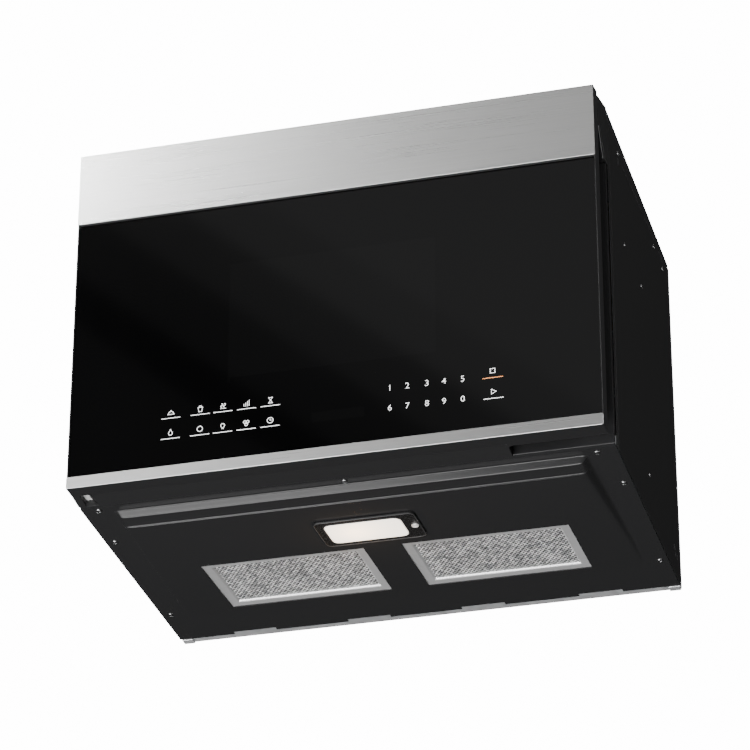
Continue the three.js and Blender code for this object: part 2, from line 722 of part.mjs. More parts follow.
function transformer() {
  const x = sideRoom;
  const y = wrapFront + 62;
  const limb = 14; // iron round the two windows of the core
  const stack = 26; // half its depth
  const windowWide = 15;
  const windowHigh = 38;
  const low = chassisTop + limb;
  const wide = 2 * limb + windowWide;
  const fit = 0.5;
  const core = cut(
    block(x - wide, x + wide, y - stack, y + stack, chassisTop, low + windowHigh + limb),
    block(x - limb - windowWide, x - limb, y - stack - 4, y + stack + 4, low, low + windowHigh),
    block(x + limb, x + limb + windowWide, y - stack - 4, y + stack + 4, low, low + windowHigh));
  const half = limb + windowWide - fit;
  const coil = cut(
    alongZ(rectangle(x - half, x + half, y - stack - limb, y + stack + limb, 12),
      low + 1, low + windowHigh - 1),
    block(x - limb - fit, x + limb + fit, y - stack - fit, y + stack + fit, low - 1, low + windowHigh + 1));
  return [
    part('transformer_core', core, 'core'),
    part('transformer_windings', coil, 'copper'),
  ];
}

function capacitor() {
  const x = sideRoom;
  const y = chassisBack - 30;
  const high = 78;
  const can = alongZ(rectangle(x - 26, x + 26, y - 16, y + 16, 15), chassisTop, chassisTop + high);
  const tags = [-10, 10].map((dx) => block(
    x + dx - 3, x + dx + 3, y - 0.5, y + 0.5, chassisTop + high - 1, chassisTop + high + 10));
  return part('capacitor', join(can, ...tags), 'aluminium');
}

// Relay board on the case's right side.
function powerBoard() {
  const outer = innerCase - 2 * seat;
  const front = wrapFront + 30;
  const foot = 190;
  const long = 120;
  const high = 140;
  const board = block(outer - 9.6, outer - 8, front, front + long, foot, foot + high);
  const posts = [10, long - 10].flatMap((dy) => [10, high - 10].map((dz) => rod(
    [outer, front + dy, foot + dz], [outer - 8.5, front + dy, foot + dz], 3, 8)));
  const relays = evenly(3, 20, 80).map((dy) => block(
    outer - 27, outer - 9, front + dy, front + dy + 20, foot + 25, foot + 50));
  const choke = rod([outer - 9, front + 40, foot + 100], [outer - 30, front + 40, foot + 100], 14, 12);
  return part('power_board', join(board, ...posts, ...relays, choke), 'board');
}

// Bracket behind the frame that the latch hooks run into, with its three switches.
function interlock() {
  const foot = latchHeights[0] - 24;
  const top = latchHeights[1] + 24;
  const front = frameBack + seat;
  const plate = block(latchX - 16, latchX + 16, front, front + 4, foot, top);
  const cheeks = [-14, 12].map((dx) => block(latchX + dx, latchX + dx + 2, front, front + 32, foot, top));
  const slots = latchHeights.map((z) => block(latchX - 8, latchX + 8, front - 1, front + 10,
    z - latchSlotHeight / 2, z + latchSlotHeight / 2));
  const switchHeights = [latchHeights[0] - 23, latchHeights[0] + 15, latchHeights[1] - 23];
  const switches = switchHeights.map((z) => block(
    latchX - 13, latchX + 13, front + 12, front + 28, z, z + 10));
  return part('interlock_switches', cut(join(plate, ...cheeks, ...switches), ...slots), 'whitePlastic');
}

// A zinc arm through the frame with the pin that the door turns on.
function hinge(name, armZ) {
  const back = frameBack + seat;
  const plateFoot = armZ < 100 ? armZ : armZ - 40;
  const plate = block(pinX - hingeArmHalf, pinX + 14, back, back + hingeArmSheet, plateFoot, plateFoot + 42);
  const arm = alongZ(outline([
    [pinX - hingeArmHalf, back + 1], [pinX - hingeArmHalf, hingePinDepth - hingeArmHalf, 6],
    [pinX + hingeArmHalf, hingePinDepth - hingeArmHalf, 6], [pinX + hingeArmHalf, back + 1],
  ]), armZ, armZ + hingeArmSheet);
  const pinEnd = armZ < 100 ? armZ + 20 : armZ - 16;
  const pin = rod([pinX, hingePinDepth, armZ + 1], [pinX, hingePinDepth, pinEnd], hingePinRadius, 16);
  return part(name, join(plate, arm, pin), 'zincSheet');
}

// Small lamp outside the oven's left wall.
function ovenLamp() {
  const y = cavityFront + 75;
  const z = cavityTop - 30; // the middle of the holes in the oven's wall
  const wall = -cavityOuter - seat;
  const reach = 28;
  const plate = block(wall - 2, wall, y - 28, y + 28, z - 22, z + 22);
  const window = block(wall - 3, wall + 1, y - 18, y + 18, z - 10, z + 10);
  const socket = rod([wall - 1, y, z + 14.5], [wall - reach, y, z + 14.5], 6, 10);
  const bulb = rod([wall - reach + 6, y, z + 9], [wall - reach + 6, y, z - 8], 7, 10, 4);
  return part('oven_lamp', join(cut(plate, window), socket, bulb), 'whitePlastic');
}

// ---- Turntable ----------------------------------------------------------------------------

const rollerAxis = cavityFloor + seat + rollerRadius;
const glassUnder = rollerAxis + rollerRadius + seat;
const hubTop = glassUnder - seat;
const motorFit = 1; // running clearance of the shaft in the motor

function turntableTray() {
  const steps = 40;
  const glass = turned([
    [0, glassUnder], [trayRadius - 16, glassUnder], [trayRadius - 4, glassUnder + trayHeight - 7],
    [trayRadius, glassUnder + trayHeight - 2], [trayRadius - 3, glassUnder + trayHeight],
    [trayRadius - 8, glassUnder + trayHeight - 4], [trayRadius - 20, glassUnder + trayGlass],
    [0, glassUnder + trayGlass],
  ], 0, turnDepth, steps);
  return part('turntable_tray', glass, 'clearGlass');
}

function driveCoupler() {
  const arms = [0, 1, 2].map((i) => {
    const angle = (i * 2 * Math.PI) / 3;
    return rod([0, turnDepth, hubTop - 4],
      [18 * Math.cos(angle), turnDepth + 18 * Math.sin(angle), hubTop - 4], 4, 8);
  });
  const hub = rod([0, turnDepth, cavityFloor + 1], [0, turnDepth, hubTop], 11, 16);
  const shaft = rod([0, turnDepth, cavityFloor - 14], [0, turnDepth, cavityFloor + 4], shaftRadius, 12);
  return part('drive_coupler', join(hub, ...arms, shaft), 'whitePlastic');
}

function rollerRing() {
  const inner = rollerTrack - 22;
  const outer = rollerTrack - 9;
  const ring = cut(
    rod([0, turnDepth, rollerAxis - 2], [0, turnDepth, rollerAxis + 2], outer, 36),
    rod([0, turnDepth, rollerAxis - 3], [0, turnDepth, rollerAxis + 3], inner, 36));
  const axles = evenRollers().map(({ at }) => rod(
    at(outer - 2), at(rollerTrack + rollerWidth / 2 + 1.5), 1.6, 8));
  return part('roller_ring', join(ring, ...axles), 'whitePlastic');
}

// For each roller, the places along its axle at a distance from the turntable's middle.
function evenRollers() {
  return Array.from({ length: rollerCount }, (_, i) => {
    const angle = (i * 2 * Math.PI) / rollerCount + Math.PI / 2;
    return { at: (r) => [r * Math.cos(angle), turnDepth + r * Math.sin(angle), rollerAxis] };
  });
}

function rollers() {
  return evenRollers().map(({ at }, i) => {
    const wheel = cut(
      rod(at(rollerTrack - rollerWidth / 2), at(rollerTrack + rollerWidth / 2), rollerRadius, 20),
      rod(at(rollerTrack - rollerWidth), at(rollerTrack + rollerWidth), 2, 8));
    return part(`roller_${i + 1}`, wheel, 'whitePlastic');
  });
}

function turntableMotor() {
  const top = cavityFloor - cavitySheet - seat;
  const can = rod([0, turnDepth, top - 18], [0, turnDepth, top], 25, 24);
  const ears = block(-34, 34, turnDepth - 6, turnDepth + 6, top - 2, top);
  const bore = rod([0, turnDepth, top - 14], [0, turnDepth, top + 1], shaftRadius + motorFit, 12);
  return part('turntable_motor', cut(join(can, ears), bore), 'zincSheet');
}

// ---- Vent blower --------------------------------------------------------------------------

// Spiral wall of a blower scroll, drawn in y, z: it opens forwards under the case's top.
function scrollOutline(inset) {
  const steps = 14;
  const start = (150 * Math.PI) / 180;
  const sweep = (300 * Math.PI) / 180;
  const corners = Array.from({ length: steps + 1 }, (_, i) => {
    const share = i / steps;
    const radius = scrollStart + scrollGrowth * share - inset;
    const angle = start + sweep * share;
    return [blowerDepth + radius * Math.cos(angle), wheelAxis + radius * Math.sin(angle)];
  });
  const mouth = ductBack + 1 - (inset > 0 ? 2 : 0);
  corners.push([mouth, wheelAxis + scrollStart + scrollGrowth - inset]);
  corners.push([mouth, wheelAxis + scrollStart * Math.sin(start) + inset]);
  return outline(corners);
}

// A bar on the line of the blower's shaft.
function onShaft(x0, x1, radius, sides = 12) {
  return rod([x0, blowerDepth, wheelAxis], [x1, blowerDepth, wheelAxis], radius, sides);
}

function blowerHousing() {
  const plateTop = ceilingTop + seat + caseSheet;
  const plate = block(-blowerSpread - 30, blowerSpread + 30, ductBack + 6, blowerDepth + 44,
    ceilingTop + seat, plateTop);
  const scrolls = [-1, 1].map((side) => {
    const x = side * blowerSpread;
    const half = scrollWidth / 2;
    const foot = block(x - half, x + half, blowerDepth - 15, blowerDepth + 15,
      plateTop - 0.5, wheelAxis - 30);
    const shell = join(alongX(scrollOutline(0), x - half, x + half), foot);
    const room = alongX(scrollOutline(caseSheet), x - half + caseSheet, x + half - caseSheet);
    const inlet = onShaft(x - half - 5, x + half + 5, wheelRadius - 9, 16);
    return cut(shell, room, inlet);
  });
  const saddle = block(-18, 18, blowerDepth - 16, blowerDepth + 16, plateTop - 0.5, wheelAxis - 29);
  return part('blower_housing', join(plate, ...scrolls, saddle), 'zincSheet');
}

function blowerMotor() {
  const half = blowerSpread - scrollWidth / 2 - 8;
  const can = onShaft(-half, half, 29 - seat, 20);
  const bosses = onShaft(-half - 5, half + 5, 9);
  const bore = onShaft(-half - 8, half + 8, shaftRadius + 0.5);
  return part('blower_motor', cut(join(can, bosses), bore), 'core');
}

function blowerShaft() {
  const end = blowerSpread + wheelWidth / 2 - 2;
  return part('blower_shaft', onShaft(-end, end, shaftRadius), 'zincScrew');
}

// A forward-curved wheel: blades between two end rings, on a middle disc.
function blowerWheel(name, side) {
  const x = side * blowerSpread;
  const half = wheelWidth / 2;
  const bladeIn = wheelRadius - 8;
  const ring = (x0, x1) => cut(
    onShaft(x0, x1, wheelRadius, 20), onShaft(x0 - 1, x1 + 1, bladeIn + 1, 20));
  const web = onShaft(x - 1, x + 1, wheelRadius - 0.5, 20);
  const hub = onShaft(x - 9, x + 9, 9);
  const bore = onShaft(x - 20, x + 20, shaftRadius + seat);
  const place = (radius, angle) => [
    blowerDepth + radius * Math.cos(angle), wheelAxis + radius * Math.sin(angle)];
  const blades = Array.from({ length: bladeCount }, (_, i) => {
    const angle = (i * 2 * Math.PI) / bladeCount;
    return alongX(outline([
      place(bladeIn, angle), place(bladeIn + 4, angle + 0.02), place(wheelRadius - 0.6, angle + 0.13),
      place(wheelRadius - 0.6, angle + 0.17), place(bladeIn + 4, angle + 0.06), place(bladeIn, angle + 0.04),
    ]), x - half + 1, x + half - 1);
  });
  const wheel = join(web, hub, ring(x - half, x - half + 2), ring(x + half - 2, x + half), ...blades);
  return part(name, cut(wheel, bore), 'zincSheet');
}

// ---- Magnetron cooling fan ----------------------------------------------------------------

const fanHeight = 226;
const fanPlateFoot = 120;
const fanPlateTop = 330;
const fanBridge = 34; // back of the motor's bridge, behind the plate's front

// A bar on the fan's axis, its ends measured back from the plate's front.
function onFan(y0, y1, radius, sides = 12) {
  return rod([sideRoom, fanPlateDepth + y0, fanHeight], [sideRoom, fanPlateDepth + y1, fanHeight],
    radius, sides);
}

function fanPlate() {
  const y = fanPlateDepth;
  const arm = fanRadius + 10;
  const plate = block(cavityOuter + seat, innerCase - seat, y, y + 2, fanPlateFoot, fanPlateTop);
  const hole = onFan(-5, 9, fanRadius + 3, 24);
  const ring = cut(onFan(0, 8, fanRadius + 5, 24), hole);
  const legs = [fanHeight - arm, fanHeight + arm].map((z) => block(
    sideRoom - 30, sideRoom + 30, y + 1, y + fanBridge, z - 1, z + 1));
  const bridge = block(sideRoom - 12, sideRoom + 12, y + fanBridge - 2, y + fanBridge,
    fanHeight - arm, fanHeight + arm);
  const bore = onFan(20, 40, fanShaftRadius + seat);
  return part('fan_plate', join(cut(plate, hole), ring, ...legs, cut(bridge, bore)), 'blackPlastic');
}

function coolingFan() {
  const middle = 5; // of the blades, behind the plate's front
  const root = 8;
  const bladeWidth = 20;
  const bladeTwist = 0.55;
  const blades = Array.from({ length: fanBlades }, (_, i) => {
    const angle = (i * 2 * Math.PI) / fanBlades;
    const blade = new THREE.BoxGeometry(fanRadius - root, 1.6, bladeWidth);
    blade.rotateX(bladeTwist);
    blade.translate((fanRadius - root) / 2 + root, 0, 0);
    blade.rotateY(angle);
    return solid(blade.translate(sideRoom, fanPlateDepth + middle, fanHeight));
  });
  const hub = onFan(middle - 8, middle + 8, 11, 16);
  const shaft = onFan(middle, fanBridge + 4, fanShaftRadius);
  return part('cooling_fan', join(hub, ...blades, shaft), 'blackPlastic');
}

function fanMotor() {
  const front = fanBridge + seat;
  const y = fanPlateDepth + front;
  const foot = fanHeight - 32;
  const stack = block(sideRoom - 26, sideRoom + 26, y, y + 20, foot, fanHeight + 18);
  const coil = rod([sideRoom - 16, y + 10, foot], [sideRoom + 16, y + 10, foot], 9.5, 12);
  const bore = onFan(front - 1, front + 8, fanShaftRadius + seat);
  return part('fan_motor', cut(join(stack, coil), bore), 'core');
}

// ---- Hood: lamp and grease filters, drawn on the tilted underside --------------------------
// Here y runs back along the tray from its step, and z runs up from the tray's underside.

function lampHousing() {
  const wall = 1;
  const high = 44;
  const foot = caseSheet + 2 * seat + 1;
  const half = lampWidth / 2 + 2;
  const front = lampStart - 2;
  const back = lampStart + lampLength + 2;
  const outer = block(-half, half, front, back, foot, foot + high);
  const room = block(-half + wall, half - wall, front + wall, back - wall, foot - 1, foot + high - wall);
  const flange = cut(
    block(-half - 5, half + 5, front - 5, back + 5, foot, foot + wall),
    block(-half + wall, half - wall, front + wall, back - wall, foot - 1, foot + wall + 1));
  return part('lamp_housing', join(cut(outer, room), flange), 'zincSheet');
}

function lampBulb() {
  const y = lampStart + lampLength / 2;
  const z = 27;
  const right = lampWidth / 2 + 0.6;
  const socketEnd = right - 26;
  const socket = rod([right, y, z], [socketEnd, y, z], 13, 14);
  const bulb = rod([socketEnd - seat, y, z], [socketEnd - 46 - seat, y, z], 9, 14, 13);
  return [part('lamp_socket', socket, 'whitePlastic'), part('lamp_bulb', bulb, 'lens')];
}

// The cover drops on a hinge along its left edge once its screw at the right is undone.
const coverProud = 2.6; // how far the cover stands below the tray
function lampCover() {
  const half = lampWidth / 2;
  const back = lampStart + lampLength;
  const rim = alongZ(rectangle(-half, half, lampStart, back, 6), -coverProud, -seat);
  const inset = 4.5;
  const collar = alongZ(rectangle(-half + inset, half - inset, lampStart + inset, back - inset, 5),
    -1, caseSheet + 1);
  const lensLeft = -half + 10;
  const lensRight = lensLeft + lensWidth;
  const middle = lampStart + lampLength / 2;
  const lensFront = middle - lensLength / 2;
  const lensBack = middle + lensLength / 2;
  const opening = rectangle(lensLeft, lensRight, lensFront, lensBack, 9);
  const frame = cut(join(rim, collar), alongZ(opening, -10, 10));
  const fit = rectangle(lensLeft + seat, lensRight - seat, lensFront + seat, lensBack - seat, 9);
  const lens = alongZ(fit, -coverProud - 1, caseSheet);
  const screwX = half - 6;
  const tab = cut(
    rod([screwX, middle, -coverProud - seat], [screwX, middle, -coverProud - 2.2], 4.5, 12, 3.6),
    block(screwX - 3.2, screwX + 3.2, middle - 0.7, middle + 0.7, -coverProud - 5, -coverProud - 1.4));
  return [
    part('lamp_cover', frame, 'blackPlastic'),
    part('lamp_lens', lens, 'lens'),
    part('lamp_cover_screw', tab, 'zincScrew'),
  ];
}

const meshColumns = 6;
const meshRows = 4;
function greaseFilter(name, side) {
  const near = filterGap / 2 - filterHidden;
  const far = filterGap / 2 + filterWidth + filterHidden;
  const left = Math.min(side * near, side * far);
  const right = Math.max(side * near, side * far);
  const front = filterStart - filterHidden;
  const back = filterStart + filterLength + filterHidden;
  const foot = caseSheet + seat;
  const rim = filterBorder + filterHidden;
  const frame = cut(
    block(left, right, front, back, foot, foot + filterThickness),
    block(left + rim, right - rim, front + rim, back - rim, foot - 1, foot + filterThickness + 1));
  const lattice = expandedSheet(left + rim - 1, right - rim + 1, front + rim - 1, back - rim + 1,
    foot + 2, foot + 3.6);
  return part(name, join(frame, lattice), 'aluminium');
}

// Expanded sheet: staggered diamond openings between slanting strands.
function expandedSheet(x0, x1, y0, y1, z0, z1) {
  const pitchX = (x1 - x0) / meshColumns;
  const pitchY = (y1 - y0) / meshRows;
  const plate = rectangle(x0, x1, y0, y1);
  for (let row = 0; row < 2 * meshRows - 1; row += 1) {
    const shift = row % 2;
    for (let column = 0; column < meshColumns - shift; column += 1) {
      const x = x0 + pitchX * (column + 0.5 + shift / 2);
      const y = y0 + (pitchY / 2) * (row + 1);
      const reachX = pitchX * 0.36;
      const reachY = pitchY * 0.36;
      plate.holes.push(outline([[x - reachX, y], [x, y - reachY], [x + reachX, y], [x, y + reachY]]));
    }
  }
  return alongZ(plate, z0, z1);
}

// Channels above the base that the filters slide in, with the stop tabs at their rear.
function filterRails() {
  const foot = caseSheet + seat;
  const near = filterGap / 2 - filterHidden - seat;
  const far = filterGap / 2 + filterWidth + filterHidden + seat;
  const front = filterStart - filterHidden - 2;
  const back = filterStart + filterLength + filterHidden + filterTravel + 2;
  const wall = 1.2;
  const high = foot + filterThickness + seat;
  const rails = [-far - wall, -near, near - wall, far].map((x, i) => {
    const inward = i % 2 === 0 ? [x, x + 5] : [x + wall - 5, x + wall];
    return join(
      block(x, x + wall, front, back, foot, high + wall),
      block(inward[0], inward[1], front, back, high, high + wall));
  });
  const ties = [front - 6, back].map((y) => block(-far - wall, far + wall, y, y + 6, foot, foot + wall));
  return part('filter_rails', join(...ties, ...rails), 'zincSheet');
}

// ---- Door ---------------------------------------------------------------------------------

const plasticFront = trimSheet + seat; // plastic face behind the metal trims
const glassFront = glassSetback;
const glassBack = glassFront + glassThickness;
const slopeTop = (y) => doorTop + (doorTopRise * y) / skinDepth;
const blockSideX = pinX + hingeArmHalf + 1;

// Front section that carries the glass and trims.
function doorSkin() {
  const under = trimSheet + seat;
  const face = alongX(outline([
    [plasticFront, doorFoot], [skinDepth, doorFoot], [skinDepth, slopeTop(skinDepth) - under],
    [plasticFront, slopeTop(plasticFront) - under],
  ]), -halfDoor, halfDoor);
  const rebate = 1.5; // plastic edge beside the glass
  const glassPocket = block(-halfDoor + rebate - seat, halfDoor - rebate + seat, -1, glassBack + seat,
    trimTop - 1, bandFoot + glassLap + seat);
  const behind = block(-halfDoor + 4, halfDoor - 4, glassBack + 3, skinDepth + 1, 6, doorTop - 8);
  const sight = block(-halfWindow, halfWindow, 0, skinDepth + 1, windowBottom, windowTop);
  const readout = block(displayLeft - 1, displayRight + 1, 0, skinDepth + 1, displayFoot - 1, displayTop + 1);
  const lipSeats = [trimTop - seat - trimSheet, bandFoot].map((z) => block(
    -halfDoor - 1, halfDoor + 1, -1, glassFront, z - seat, z + trimSheet + seat));
  return cut(face, glassPocket, behind, sight, readout, ...lipSeats);
}

const glassLap = 5; // glass carried up behind the band
const displayLeft = -22;
const displayRight = 37;
const displayFoot = 45;
const displayTop = 57;

// The deeper body behind the skin: rim walls, hinge block and finger pocket.
function doorBody() {
  const profile = (inset, back) => outline([
    [skinDepth - 3 * inset, doorFoot + inset], [skinDepth, doorFoot + inset],
    [back, doorHeel + inset], [back, bodyTopBack - inset],
    [skinDepth, bodyTopFront - inset], [skinDepth - 3 * inset, bodyTopFront - inset]]);
  const outer = alongX(profile(0, doorThickness), -halfDoor, bodyRight);
  const hollow = alongX(profile(doorWall, doorThickness + 5), blockSideX + doorWall, bodyRight - doorWall);
  const swingRadius = doorThickness - hingePinDepth;
  const corner = cut(
    block(-halfDoor - 5, pinX, hingePinDepth, doorThickness + 5, -20, caseHeight),
    rod([pinX, hingePinDepth, -21], [pinX, hingePinDepth, caseHeight + 1], swingRadius, 32));
  const pocketLeft = bodyRight - pocketWidth;
  const pocketRoof = doorHeel + pocketHeight;
  const pocketTop = pocketRoof + doorWall;
  const pocketWalls = join(
    block(pocketLeft - doorWall, pocketLeft, skinDepth - 2, doorThickness, doorHeel + 2, pocketTop),
    block(pocketLeft - doorWall, bodyRight, skinDepth - 2, doorThickness, pocketRoof, pocketTop));
  const pocket = alongZ(rectangle(pocketLeft, bodyRight + 40, skinDepth + 2, doorThickness + 40, 6),
    -20, pocketRoof);
  return cut(join(cut(outer, hollow), pocketWalls), corner, pocket);
}

// Cuts that let the hinge arms swing into the door's corner, and the holes for their pins.
function hingeCuts() {
  const clear = 1.2;
  return hingeArmHeights.flatMap((armZ) => {
    const low = armZ - clear;
    const high = armZ + hingeArmSheet + clear;
    const sweep = block(-halfDoor - 5, pinX + hingeArmHalf + clear, hingePinDepth - hingeArmHalf - clear,
      doorThickness + 5, low, high);
    const [start, end] = armZ < 100 ? [low, armZ + 24] : [high, armZ - 20];
    const pinHole = rod([pinX, hingePinDepth, start], [pinX, hingePinDepth, end],
      hingePinRadius + 0.2, 16);
    return [sweep, pinHole];
  });
}

function doorFrame() {
  const sightWindow = block(pinX - 1, pinX + 13, 21, 43, doorHeel - 5, hingeArmHeights[0]);
  const lugInset = 15;
  const boardLugs = [lugInset - boardHalf, boardHalf - lugInset].flatMap((x) => [26, 88].map((z) => rod(
    [x, glassBack + 2, z], [x, boardFront - seat, z], 3.5, 8)));
  const frame = cut(join(doorSkin(), doorBody(), ...boardLugs, latchGuide()), ...hingeCuts(), sightWindow,
    block(-halfWindow, halfWindow, 0, doorThickness + 1, windowBottom, windowTop));
  return part('door_frame', frame, 'blackPlastic');
}

function doorGlass() {
  const rebate = 1.5;
  const pane = alongY(rectangle(-halfDoor + rebate, halfDoor - rebate, trimTop, bandFoot + glassLap),
    glassFront, glassBack);
  return part('door_glass', pane, 'darkGlass');
}

// Stainless band folded over the door's top, with a lip that turns in over the glass.
function topBand() {
  const t = trimSheet;
  const lip = glassFront - seat;
  const fold = outline([
    [0, bandFoot], [0, doorTop, 1.5], [skinDepth, slopeTop(skinDepth)], [skinDepth, slopeTop(skinDepth) - t],
    [t, slopeTop(t) - t], [t, bandFoot + t], [lip, bandFoot + t], [lip, bandFoot]]);
  return part('top_band', alongX(fold, -halfDoor, halfDoor), 'stainless');
}

// Stainless strip along the door's foot, with rounded ends.
const trimCorner = 2;
function bottomTrim() {
  const t = trimSheet;
  const face = alongY(rectangle(-halfDoor, halfDoor, doorFoot, trimTop - seat, trimCorner), 0, t);
  const lip = block(-halfDoor + 4, halfDoor - 4, 0, glassFront - seat, trimTop - seat - t, trimTop - seat);
  return part('bottom_trim', join(face, lip), 'stainless');
}

// Keypad board behind the glass, with its chips, cable plug and readout.
const boardFront = glassBack + 7;
const boardHalf = 205;
const chips = [
  { x: -120, z: 40, half: 14 }, { x: -60, z: 70, half: 10 },
  { x: 90, z: 60, half: 18 }, { x: 150, z: 36, half: 12 },
];
function controlBoard() {
  const face = boardFront + 1;
  const board = block(-boardHalf, boardHalf, boardFront, boardFront + 1.6, 20, 96);
  const blocks = chips.map(({ x, z, half }) => block(
    x - half, x + half, face, face + 4, z - half / 2, z + half / 2));
  const plug = block(-178, -150, face, face + 8, 74, 88);
  const readout = block(displayLeft, displayRight, glassBack + 2 * seat, boardFront + 0.5,
    displayFoot, displayTop);
  return part('control_board', join(board, ...blocks, plug, readout), 'board');
}

// Steel inner panel of the door: a dished pan with the perforated screen and its clear sheet.
const innerFace = doorThickness - 0.5;
const panHalf = halfCavity + 6;
function doorPan() {
  const foot = cavityFloor - 6;
  const top = cavityTop + 6;
  const pan = cut(
    block(-panHalf, panHalf, innerFace - 10, innerFace, foot, top),
    block(-panHalf + 1.2, panHalf - 1.2, innerFace - 12, innerFace - 1.2, foot + 1.2, top - 1.2),
    block(-halfWindow, halfWindow, innerFace - 12, innerFace + 1, windowBottom, windowTop));
  const lap = 5;
  const behindWindow = (y0, y1) => block(
    -halfWindow - lap, halfWindow + lap, y0, y1, windowBottom - lap, windowTop + lap);
  const filmBack = innerFace - 1.2 - seat;
  const film = behindWindow(filmBack - 1.5, filmBack);
  const screenBack = filmBack - 1.5 - seat;
  const screen = behindWindow(screenBack - 0.8, screenBack);
  return [
    part('door_inner_panel', pan, 'enamel'),
    part('inner_window', film, 'clearGlass'),
    part('window_screen', screen, 'core'),
  ];
}

// Plastic cover over the choke round the inner panel; it fills the door's back inside the rim.
function chokeCover() {
  const left = blockSideX + doorWall + seat;
  const right = bodyRight - doorWall - seat;
  const foot = doorHeel + pocketHeight + doorWall + seat;
  const top = bodyTopBack - doorWall - seat;
  const front = innerFace - 2.5;
  const plate = alongY(rectangle(left, right, foot, top, 2), front, innerFace);
  const besidePocket = bodyRight - pocketWidth - doorWall - seat;
  const lowFoot = doorHeel + doorWall + seat + 1;
  const lowLeft = alongY(rectangle(left, besidePocket, lowFoot, foot + 5), front, innerFace);
  const roundPan = (y0, y1, spread) => block(-panHalf - spread, panHalf + spread, y0, y1,
    cavityFloor - 6 - spread, cavityTop + 6 + spread);
  const mouth = roundPan(0, 100, seat);
  const collar = cut(roundPan(innerFace - 14, innerFace - 2, 3), mouth);
  return part('choke_cover', cut(join(plate, lowLeft, collar), mouth, ...latchSlots()), 'blackPlastic');
}

// Sprung latch: one bar with two hooks that reach through the frame.
const barBack = innerFace - 4;
const barFoot = latchHeights[0] - 22;
const barTop = latchHeights[1] + 26;
function doorLatch() {
  const half = hookThickness / 2;
  const bar = block(latchX - half, latchX + half, barBack - 8, barBack, barFoot, barTop);
  const hooks = latchHeights.map((z) => alongX(outline([
    [barBack - 1, z + 3], [frameBack + hookReach, z + 3, 3], [frameBack + hookReach, z - 2],
    [frameBack + hookReach - 6, z - hookHead], [frameBack + hookReach - 12, z - hookHead],
    [frameBack + hookReach - 14, z - 3], [barBack - 1, z - 3],
  ]), latchX - half, latchX + half));
  return part('door_latch', join(bar, ...hooks), 'whitePlastic');
}

// Guides on the door's skin for the latch bar, and the seat of its spring.
function latchGuide() {
  const half = hookThickness / 2 + seat;
  const low = barFoot + 10;
  const top = barTop + 30;
  const front = glassBack + 2;
  const outside = half + 2;
  const cheeks = [-outside, half].map((dx) => block(
    latchX + dx, latchX + dx + 2, front, barBack - 1, low, top));
  const back = block(latchX - outside, latchX + outside, barBack - 12, barBack - 8 - seat, low, top);
  const cap = block(latchX - outside, latchX + outside, barBack - 12, barBack - 1,
    barTop + springRoom, barTop + springRoom + 2);
  return join(...cheeks, back, cap);
}

// Coil spring that presses the latch down.
const springTurns = 5;
const springRoom = 20; // between the latch bar and the spring's seat
const springSteps = 8; // rings of the coil in each turn
const wireSides = 4;
function latchSpring() {
  const radius = 2.2;
  const wire = 0.45;
  const foot = barTop + seat + wire;
  const top = barTop + springRoom - seat - wire;
  const steps = springTurns * springSteps;
  const rings = Array.from({ length: steps + 1 }, (_, i) => {
    const turn = (i / springSteps) * 2 * Math.PI;
    const z = foot + ((top - foot) * i) / steps;
    const cx = latchX + radius * Math.cos(turn);
    const cy = barBack - 4 + radius * Math.sin(turn);
    return Array.from({ length: wireSides }, (_unused, k) => {
      const around = (k / wireSides) * 2 * Math.PI;
      const out = wire * Math.cos(around);
      return [cx + out * Math.cos(turn), cy + out * Math.sin(turn), z + wire * Math.sin(around)];
    });
  });
  return part('latch_spring', loft(rings), 'zincScrew');
}

// ---- Assembly -----------------------------------------------------------------------------

const door = new THREE.Group();
door.add(doorFrame(), doorGlass(), topBand(), bottomTrim(), controlBoard(), ...doorPan(), chokeCover(),
  latchSpring(), doorLatch());

const hood = new THREE.Group();
hood.position.set(0, trayStep, -trayDrop);
hood.rotation.x = trayTilt;
hood.add(lampHousing(), ...lampBulb(), ...lampCover(), filterRails(),
  greaseFilter('grease_filter_left', -1), greaseFilter('grease_filter_right', 1));

const oven = new THREE.Group();
oven.add(frontFrame(), cavityLiner(), waveguideCover(), waveguide(), magnetron(), ...transformer(),
  capacitor(), powerBoard(), chassisPlate(), interlock(), ovenLamp(), turntableMotor(),
  turntableTray(), driveCoupler(), rollerRing(), ...rollers(),
  hinge('lower_hinge', hingeArmHeights[0]), hinge('upper_hinge', hingeArmHeights[1]));

const vent = new THREE.Group();
vent.add(ventGrille(), ventDeflector(), exhaustDuct(), carbonFilter(), blowerHousing(), blowerMotor(),
  blowerShaft(), blowerWheel('blower_wheel_left', -1), blowerWheel('blower_wheel_right', 1),
  fanPlate(), coolingFan(), fanMotor());

const shell = new THREE.Group();
shell.add(outerCase(), basePanel(), backPanel(), ...outletPlates(), cordGland());

const appliance = new THREE.Group();
appliance.add(door, hood, oven, vent, shell);
appliance.position.set(0, -overallDepth, -caseHeight / 2);

export default appliance;
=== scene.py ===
import json
import math

import bmesh
import bpy
from mathutils import Matrix, Vector

